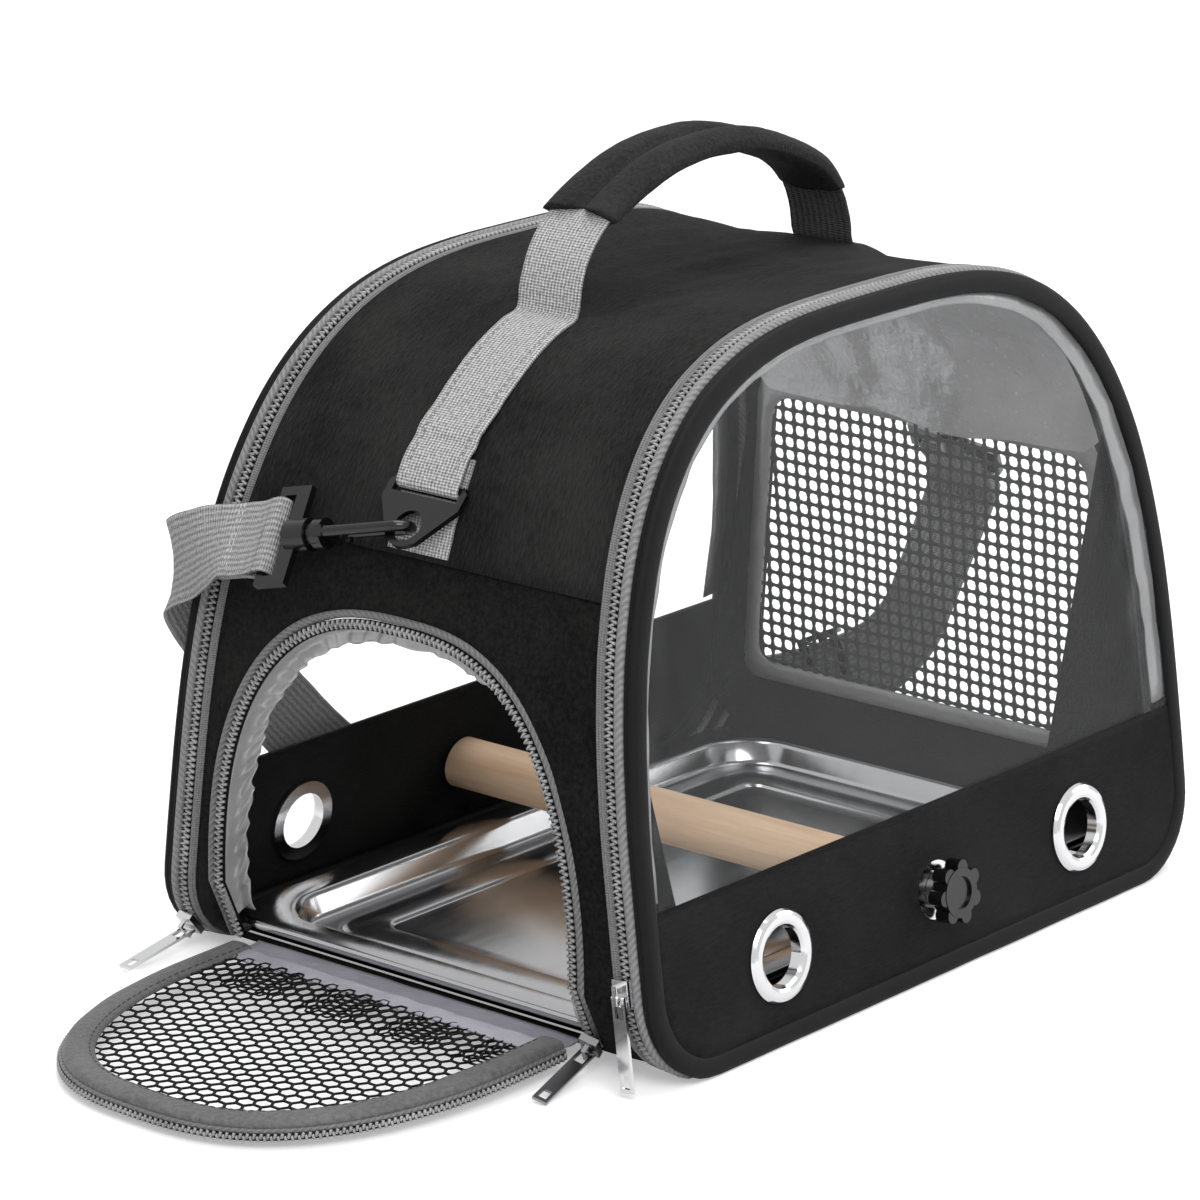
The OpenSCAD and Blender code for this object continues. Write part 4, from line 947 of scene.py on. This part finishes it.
def stitches(name, path, up, look, length, gap, radius=0.35, body="shell"):
    """A row of sunk thread stitches. up is the way out of the cloth, or gives it at a point."""
    points, faces = [], []
    for at, along in resample(path, length + gap):
        face = up(at) if callable(up) else up
        across = along.cross(face).normalized()
        first = len(points)
        for t, s in ((-0.5, 0.15), (-0.4, 0.8), (0.0, 1.0), (0.4, 0.8), (0.5, 0.15)):
            for k in range(6):
                a = 2 * pi * k / 6
                out = across * cos(a) + face * (sin(a) + 0.15 - 0.5 * abs(t))
                points.append(at + along * t * length + out * radius * s)
        for k in range(first, first + 24):
            n = k + 1 if (k - first) % 6 < 5 else k - 5
            faces.append((k, n, n + 6, k + 6))
    add_mesh(name, points, faces, look, body)


def make_flap():
    """The fold-down door: bound edge, zip coil, net and a hem of lining at its foot."""
    binding = flap_sweep("flap_binding_cloth", FLAP_SECTION, "flap", 0.35)
    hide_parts("door_binding")
    bed = flap_sweep("flap_coil_bed", FLAP_COIL_SECTION, "coil_tape")
    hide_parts("door_flap_coil")
    path = [flap_point(d, y, -2.3) for d, y in flap_line(0.7, 1.0)]
    rail = []
    for at, along in resample(path, BAR_PITCH):
        out = along.cross(UP).normalized()
        inwards = out.dot(at - Vector((-240.0, DOOR_Y, at.z))) < 0
        rail.append((at, along, UP, -out if inwards else out))
    coil("flap_coil_teeth", rail, 3.4, 0.9, "door")
    flap_sweep("flap_edge_piping", FLAP_EDGE_SECTION, "piping")

    def net_at(a, b):
        sag = fall_off(a, 10.0, 80.0) * fall_off(150.0 - a, 0.0, 60.0)
        return flap_point(a, b, 1.4 + ripple((a, b, 1.0), 40.0, 1.0) - sag)

    cells = hex_net("flap_net", flap_line(15.0, 8.0), 7.6, 1.2, net_at, 1.0)
    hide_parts("door_mesh")
    half = DOOR_W / 2 - FLAP_INSET - 12.0
    hex_net("flap_net_turn", [(11.0, -half), (36.0, -half), (36.0, half), (11.0, half)], 7.4, 1.15,
            lambda a, b: net_at(a + 3.0, b + 2.0) + UP * 0.9, 0.8)
    rings = []
    for i in range(13):
        d, high = 1.0 + i, 1.6 if i in (0, 12) else 2.4
        rings.append([flap_point(d, -half + 2 * half * j / 48, high + ripple((d, j * 4.0, 2.0), 12.0, 0.7))
                      for j in range(49)])
    hem = sweep("flap_hem_lining", rings, "hem", "door", closed_ring=False)
    thicken(hem, HEM_T)
    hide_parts("door_mesh_hem")
    line = [flap_point(d, y, 3.85) for d, y in flap_line(13.4, 3.0)]
    stitches("flap_stitches", line, UP, "dark_thread", 3.0, 1.4, body="door")
    make_hinge_strip()


def make_hinge_strip():
    """The fold of lining that the door hangs on."""
    half = DOOR_W / 2 - FLAP_INSET - 6.0
    rings = []
    for i in range(11):
        t = i / 10
        x, z = -198.8 + t * 14.2, 9.4 - 1.14 * sin(pi * t)
        rings.append([Vector((x, DOOR_Y - half + 2 * half * j / 60,
                              z + ripple((t * 20.0, j * 3.0, 5.0), 14.0, 0.5))) for j in range(61)])
    strip = sweep("door_fold_lining", rings, "hem", closed_ring=False)
    thicken(strip, 0.8)
    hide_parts("door_hinge_strip")


# ---------- mesh end ----------

END_IN = 4.2


def end_point(y, z, out):
    """On the flat net inside the right wall; out is towards the outside."""
    chord = atan((wall_x(END_LOW) - wall_x(END_HIGH)) / (END_HIGH - END_LOW))
    up = z - END_LOW
    deep = wall_x(END_LOW) - WALL_T - END_IN
    return Vector((deep - up * sin(chord) + out * cos(chord), y,
                   END_LOW + up * cos(chord) + out * sin(chord)))


def make_end_net():
    cells = square_net("end_net", end_window_line(-2.0),
                       lambda y, z: end_point(y, z, 1.6 + ripple((y, z, 3.0), 50.0, 1.4)))
    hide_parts("end_mesh")
    lines = [end_window_line(margin) for margin in (-6.0, -5.6, 2.5, 3.4, 3.0, -5.6)]
    outs = (0.6, 2.0, 2.2, 1.4, 0.2, 0.0)
    rings = [[end_point(y, z, out + ripple((y, z, out), 14.0, 0.4)) for out, (y, z) in zip(outs, ring)]
             for ring in zip(*lines)]
    binding = sweep("end_net_binding", rings, "film_edge", closed_path=True)
    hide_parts("end_mesh_binding")


# ---------- tray ----------

TRAY_L, TRAY_W, TRAY_TOP = 372.0, 240.0, 19.1
# distance in from the edge, height over the rim's top, and corner radius
TRAY_PROFILE = (
    (1.2, -2.6, 23), (0.2, -2.4, 24), (0.0, -1.2, 24), (0.3, -0.3, 24), (1.2, 0.0, 23), (13.0, 0.0, 26),
    (14.6, -0.5, 28), (15.6, -1.8, 30), (17.6, -8.8, 29), (18.8, -10.6, 28), (21.5, -11.6, 26),
    (27.0, -11.8, 22), (30.5, -11.8, 20), (31.5, -11.2, 19), (32.5, -9.9, 18), (33.6, -9.4, 17),
    (36.0, -9.3, 15), (50.0, -9.3, 10), (50.9, -9.6, 9), (51.8, -10.4, 8), (53.0, -10.6, 7),
    (60.0, -10.6, 6))


def rounded_rect(length, width, radius):
    count = 12
    line = []
    for cx, cy, start in ((1, 1, 0), (-1, 1, 90), (-1, -1, 180), (1, -1, 270)):
        for i in range(count + 1):
            a = radians(start + 90 * i / count)
            line.append((cx * (length / 2 - radius) + radius * cos(a),
                         cy * (width / 2 - radius) + radius * sin(a)))
    return line


def make_tray():
    """A pressed tray: flat rim with a turned edge, a deep well and a raised inner field."""
    rings = []
    for inset, z, radius in TRAY_PROFILE:
        line = rounded_rect(TRAY_L - 2 * inset, TRAY_W - 2 * inset, radius)
        rings.append([Vector((x, y, TRAY_TOP + z)) for x, y in line])
    tray = sweep("steel_tray_pressing", rings, "steel", first_cap=False)
    thicken(tray, 0.8, 1.0)
    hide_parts("steel_tray")


# ---------- handle ----------

RING_Z = 238.0
RING_BAR = 3.0
SEAT = 0.3
CAD_WEB = 1.4
STANDOFF = CAD_WEB + 2 * SEAT + RING_BAR / 2 + 0.2
LIFT = SEAT + CAD_WEB / 2
HANDLE_X = 98.0
CREST_Z = BODY_H + 51.5


def arch_angle(z):
    return asin(((z - ARCH_START) / (BODY_H - ARCH_START)) ** (ARCH_TOP / 2))


def wall_tilt(z):
    return atan((wall_x(z - 8) - wall_x(z + 8)) / 16)


def at_ring(v, w):
    a = wall_tilt(RING_Z)
    return (wall_x(RING_Z) + w * cos(a) - v * sin(a),
            RING_Z + w * sin(a) + v * cos(a))


HANDLE_HALF = [(HANDLE_X - 2, CREST_Z - 47.5), (HANDLE_X - 8, CREST_Z - 33.5),
               (HANDLE_X - 21, CREST_Z - 20.5), (HANDLE_X * 0.53, CREST_Z - 9),
               (HANDLE_X * 0.27, CREST_Z - 2), (0.0, CREST_Z)]


def web_path():
    """The handle webbing in the X-Z plane, from the loop on the right ring to the crest."""
    loop_w = STANDOFF + RING_BAR / 2 + SEAT + CAD_WEB / 2 + 0.2
    loop_r = (loop_w - LIFT) / 2
    points = [at_ring(15, LIFT), at_ring(8, LIFT)]
    for i in range(7):
        a = radians(180 + 30 * i)
        points.append(at_ring(-0.3 + loop_r * sin(a), (LIFT + loop_w) / 2 + loop_r * cos(a)))
    points += [at_ring(7, loop_w - 0.1), at_ring(14, loop_w - 1), at_ring(20, LIFT + CAD_WEB + 0.9),
               at_ring(26, LIFT + CAD_WEB + 0.2)]
    a0 = arch_angle(RING_Z + 30)
    a1 = acos((HANDLE_X / BODY_W * 2) ** (ARCH_SIDE / 2))
    for i in range(8):
        extra = (2 - i) / 2 * 0.9 if i < 2 else 0.0
        points.append(arch_at(a0 + (a1 - a0) * i / 7, -LIFT - extra))
    return points + HANDLE_HALF


def smooth_path(points, count):
    """A Catmull-Rom curve through the points."""
    points = [Vector(p) for p in points]
    out = []
    for i in range(len(points) - 1):
        p0, p1 = points[max(0, i - 1)], points[i]
        p2, p3 = points[i + 1], points[min(len(points) - 1, i + 2)]
        for k in range(count):
            t = k / count
            out.append(0.5 * ((2 * p1) + (p2 - p0) * t + (2 * p0 - 5 * p1 + 4 * p2 - p3) * t * t
                              + (3 * p1 - p0 - 3 * p2 + p3) * t ** 3))
    out.append(points[-1])
    return out


def run_at(line, i):
    """The direction of a line of points at its point i."""
    return (line[min(i + 1, len(line) - 1)] - line[max(i - 1, 0)]).normalized()


def ribbon(name, path, across, width, thickness, look):
    """A flat woven strap with soft edges. across is the direction over its width, or a list of them."""
    left = [(-1.0, 0.0), (-0.985, 0.36), (-0.95, 0.5), (-0.6, 0.52), (-0.2, 0.5)]
    top = left + [(-a, h) for a, h in left[::-1]]
    section = top + [(-a, -h) for a, h in top[1:-1]]
    rings = []
    for i, at in enumerate(path):
        run = run_at(path, i)
        side = across[i] if isinstance(across, list) else across
        side = (side - run * side.dot(run)).normalized()
        reach = width / 2 + ripple(tuple(at), 9.0, 0.35)
        rings.append([at + side * a * reach + run.cross(side) * (h * thickness) for a, h in section])
    return sweep(name, rings, look)


def make_handle():
    # The right half takes the dark copy of the webbing colour: painted shade.
    for side, name, look in ((-1, "left", "web"), (1, "right", "web_shaded")):
        path = smooth_path([Vector((side * x, 0.0, z)) for x, z in web_path()], 3)
        web = ribbon(f"{name}_handle_webbing", path, ACROSS, WEB_W, WEB_T, look)
        if side < 0:
            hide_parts("handle_webbing")
        make_edge_stitches(name, path)
    make_grip()
    make_web_stitches()
    make_anchors()


def make_edge_stitches(name, path):
    """A row of sunk thread along each edge of the webbing, up to the grip."""
    free = path[27:-20]
    for k, y in enumerate((-13.2, 13.2)):
        row = []
        for i, at in list(enumerate(free))[1:-1]:
            out = run_at(free, i).cross(ACROSS)
            out = -out if out.dot(outward(at.x, at.z)) < 0 else out
            row.append(at + ACROSS * y + out * WEB_T * 0.5)
        stitches(f"{name}_edge_stitches_{k}", row, lambda at: outward(at.x, at.z), "web_thread",
                 2.2, 1.2, 0.32)


def make_grip():
    """The padded wrap: two soft rolls that meet along a seam on top, with open ends."""
    line = smooth_path([Vector((x, 0.0, z)) for x, z in both_ways(HANDLE_HALF[1:])[:-1]], 9)
    steps = 64
    rings = []
    for i, at in enumerate(line):
        run = run_at(line, i)
        out = run.cross(ACROSS)
        out = -out if out.z < 0 else out
        t = 2.0 * i / (len(line) - 1) - 1.0
        full = 1.0 - 0.22 * abs(t) ** 6
        narrow = 1.0 - 0.12 * fall_off(-t, -0.1, 0.9)
        ring = []
        for j in range(steps):
            a = 2 * pi * j / steps
            y = copysign(abs(cos(a)) ** 0.7, cos(a)) * 20.4
            roll = sqrt(max(0.0, 1.0 - ((abs(y) - 10.2) / 10.3) ** 2))
            if sin(a) >= 0:
                h = (1.0 + 6.4 * roll) * full
            else:
                h = -(0.6 + 4.4 * sqrt(max(0.0, 1.0 - (y / 20.5) ** 2))) * full
            crush = ripple((at.x, y, at.z), 21.0, 0.8) + ripple((at.x * 1.5, y * 0.6, 7.0), 8.0, 0.25)
            gap = exp(-(y / 4.0) ** 2) if sin(a) >= 0 else 0.4
            back = 5.0 * gap * fall_off(abs(t), 0.9, 1.0) * (1.0 if t < 0 else -1.0)
            ring.append(at + ACROSS * (y * narrow) + out * (h + crush * roll) + run * back)
        rings.append(ring)
    grip = sweep("handle_grip_wrap", rings, "grip")
    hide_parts("handle_grip")


def make_web_stitches():
    """A bar of pale thread that closes each loop of the webbing round its ring."""
    for side, name in SIDES:
        inner, outer = [Vector((side * x, 0.0, z)) for x, z in (at_ring(12, 0.0), at_ring(12, LIFT + 5.1))]
        path = [outer + ACROSS * y for y in range(-16, 17, 4)]
        stitches(f"{name}_web_bar_stitches", path, (outer - inner).normalized(), "thread", 2.8, 0.5, 0.45)


def make_anchors():
    """The short tails that run from under the rings down into the seam."""
    tail = [at_ring(-4.5, LIFT), at_ring(-14, LIFT)]
    tail += [arch_at(arch_angle(SEAM_Z + up), -LIFT) for up in (6, 0.5)]
    for side, name in SIDES:
        path = smooth_path([Vector((side * x, 0.0, z)) for x, z in tail], 5)
        made = ribbon(f"{name}_ring_tail", path, ACROSS, WEB_W, WEB_T, "web")
        if side < 0:
            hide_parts("ring_anchors")


# ---------- shoulder strap ----------

# degrees: how far each ring stands off the wall, each hook hangs down, and the hooks lean
RING_FLARE = {-1: 16.0, 1: 12.0}
HOOK_DROP = {-1: 14.7, 1: 75.8}
HOOK_LEAN = -2.5
RING_HOLE_Z = -21.5
HOOK_REACH = 57.6
FRAME_BAR = -15.5
LOOP_MID = 2.5 + SEAT + STRAP_T / 2
LAYER = (STRAP_T + SEAT) / 2


def moved(x, z):
    return Matrix.Translation((x, 0.0, z))


def turned(degrees, axis):
    return Matrix.Rotation(radians(degrees), 4, axis)


def hook_matrix(side):
    """From the strap frame's own axes to the carrier's."""
    made = moved(*at_ring(0, STANDOFF))
    made = made @ turned(-degrees(wall_tilt(RING_Z)) - RING_FLARE[side], "Y")
    made = made @ moved(0.0, RING_HOLE_Z) @ turned(90 - HOOK_DROP[side], "X")
    made = made @ turned(-HOOK_LEAN, "Y") @ turned(90, "Z") @ moved(0.0, -HOOK_REACH) @ turned(-90, "Y")
    return Matrix.Diagonal((side, 1.0, 1.0, 1.0)) @ made


def frame_station(side, x, y):
    """A point of the strap at x and y from the frame's bar, and the direction over its width."""
    m = hook_matrix(side)
    return (m @ Vector((FRAME_BAR + x, y, 0.0)),
            (m @ Vector((0.0, 0.0, 0.0))) - (m @ Vector((0.0, 0.0, 1.0))))


def back_y(z):
    return -panel_y(z, 0.0)


EX = BODY_W / 2

# points along the strap, each with the direction over its width
STRAP_MIDDLE = [
    ((-EX - 6.5, back_y(200) - 21, 200.5), (0.45, 0.33, 0.83)),
    ((-EX - 7, back_y(195) - 11.5, 195.5), (0.2, 0.42, 0.88)),
    ((-EX - 4.5, back_y(190) - 2, 190), (0.05, 0.42, 0.9)),
    ((-EX + 1, back_y(184) + 6, 184), (0.3, 0.25, 0.9)),
    ((-EX + 10, back_y(176) + 10.5, 176), (0.42, 0.05, 0.9)),
    ((-EX + 20, back_y(163) + 11, 163), (0.5, -0.1, 0.86)),
    ((-EX + 34, back_y(145) + 10, 145), (0.6, -0.1, 0.8)),
    ((-EX + 51, back_y(123) + 9.5, 123), (0.64, -0.1, 0.77)),
    ((-EX + 74, back_y(102) + 9, 102), (0.66, -0.1, 0.75)),
    ((-EX + 97, back_y(80) + 9, 80), (0.66, -0.1, 0.75)),
    ((-EX + 120, back_y(60) + 10, 60), (0.6, -0.1, 0.8)),
    ((-EX + 147, back_y(42) + 13, 42), (0.5, -0.1, 0.86)),
    ((-27, back_y(30) + 18, 30), (0.28, -0.1, 0.95)),
    ((6, back_y(23) + 18.5, 23), (0.1, -0.1, 0.99)),
    ((40, back_y(21) + 16, 21), (0, -0.1, 1)),
    ((80, back_y(21) + 11, 21), (0, -0.1, 1)),
    ((EX - 76, back_y(21) + 9.5, 21), (0, -0.1, 1)),
    ((EX - 40, back_y(21) + 9.5, 21), (0, -0.1, 1)),
    ((EX - 16, back_y(21) + 8.5, 21), (0, -0.08, 1)),
    ((EX, back_y(22) + 3, 22), (0, 0, 1)),
    ((EX + 9, back_y(24) - 10, 24), (0, 0.1, 1)),
    ((EX + 13, back_y(28) - 28, 28), (0, 0.24, 0.97)),
    ((EX + 16, back_y(35) - 50, 36), (0, 0.42, 0.91)),
    ((EX + 19, back_y(48) - 76, 49.5), (0, 0.46, 0.89)),
    ((EX + 21, back_y(60) - 92, 62), (0, 0.66, 0.75)),
    ((EX + 23, back_y(80) - 103, 80), (0, 0.86, 0.5)),
    ((EX + 25, back_y(100) - 108, 100), (0, 0.95, 0.3)),
]


def frame_turn(side):
    """The doubled strap end round the frame's bar, from its loose tail to where the strap leaves."""
    tail = [frame_station(side, x, LAYER) for x in (-24, -16)]
    tail += [frame_station(side, -9, LAYER + 0.4), frame_station(side, -3.5, LOOP_MID - 0.5)]
    for a in map(radians, range(80, -81, -40)):
        tail.append(frame_station(side, LOOP_MID * cos(a), LOOP_MID * sin(a)))
    lead = [frame_station(side, -3.5, 0.5 - LOOP_MID), frame_station(side, -9, -LAYER - 0.4)]
    lead += [frame_station(side, x, -LAYER) for x in (-16, -25)]
    return tail, lead


def smooth_stations(stations):
    sides = [Vector(side).normalized() for _, side in stations]
    return smooth_path([at for at, _ in stations], 4), smooth_path(sides, 4)


def make_strap():
    (left_tail, left_lead), (right_tail, right_lead) = frame_turn(-1), frame_turn(1)
    path, sides = smooth_stations(left_lead + STRAP_MIDDLE + right_lead[::-1])
    strap = ribbon("shoulder_strap_webbing", path, sides, STRAP_W, STRAP_T, "strap")
    for name, tail, lead in (("left", left_tail, left_lead), ("right", right_tail, right_lead)):
        line, across = smooth_stations(tail + lead[:1])
        ribbon(f"{name}_strap_end", line, across, STRAP_W, STRAP_T, "strap")
    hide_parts("shoulder_strap")
    length = lengths(path)[-1]
    make_strap_stitches()


def make_strap_stitches():
    """Rows of thread across the doubled ends of the strap."""
    for side, name in SIDES:
        m = hook_matrix(side)
        face = (m @ Vector((0.0, -1.0, 0.0)) - m @ Vector((0.0, 0.0, 0.0))).normalized()
        for k, x in enumerate((-22.0, -20.0)):
            path = [m @ Vector((FRAME_BAR + x, -LAYER - STRAP_T * 0.52, z)) for z in range(-17, 18, 2)]
            stitches(f"{name}_strap_stitches_{k}", path, face, "thread", 2.6, 1.2, 0.3)


# ---------- stage ----------

# name, place and size in metres, and watts
LAMPS = (("key", (-1.3, -1.5, 2.0), 1.4, 34.0),
         ("top", (0.3, 0.2, 2.3), 1.6, 26.0),
         ("side", (1.9, -1.2, 1.1), 1.2, 14.0))
WHITE = (1.0, 1.0, 1.0, 1.0)


def make_floor():
    bpy.ops.mesh.primitive_plane_add(size=14.0, location=(0.0, 0.0, -0.0004))
    floor = bpy.context.object
    floor.name = "floor"
    m = Nodes("floor_paper", (0.9, 0.9, 0.9), 0.95)
    m.bump(m.noise(300.0), 0.0001, 0.2)
    rays = m.node("ShaderNodeLightPath")
    white = m.node("ShaderNodeEmission", {"Color": WHITE, "Strength": 0.35})
    both = m.node("ShaderNodeAddShader", {0: m.shader.outputs[0], 1: white.outputs[0]})
    m.finish(rays.outputs["Is Camera Ray"], m.shader, both, "Material Output")
    floor.data.materials.append(m.material)


def make_world():
    """Soft light all round, and a plain pale surround where the camera, metal or glass sees it."""
    world = bpy.data.worlds.new("studio")
    bpy.context.scene.world = world
    world.use_nodes = True
    t = Tree(world.node_tree)
    fill = t.tree.nodes["Background"]
    t.put(fill, {"Color": WHITE, "Strength": 0.55})
    seen = t.node("ShaderNodeBackground", {"Strength": 1.0})
    rays = t.node("ShaderNodeLightPath").outputs
    clear = t.math("MAXIMUM", rays["Is Camera Ray"], rays["Is Glossy Ray"])
    t.finish(t.math("MAXIMUM", clear, rays["Is Transmission Ray"]), fill, seen, "World Output")


def make_lamps():
    for name, at, size, power in LAMPS:
        data = bpy.data.lights.new(name, "AREA")
        data.size = size
        data.energy = power
        lamp = bpy.data.objects.new(name, data)
        lamp.location = at
        aim = Vector((0.0, 0.0, 0.15)) - Vector(at)
        lamp.rotation_euler = aim.to_track_quat("-Z", "Y").to_euler()
        bpy.context.collection.objects.link(lamp)


make_camera()
make_strap()
finish_cad_nodes()
make_arch_edges()
make_left_wall()
make_right_wall()
make_roof()
make_underside()
make_panels()
make_opening()
make_flap()
make_end_net()
make_tray()
make_handle()
make_floor()
make_world()
make_lamps()
bpy.context.scene.view_settings.view_transform = "Standard"
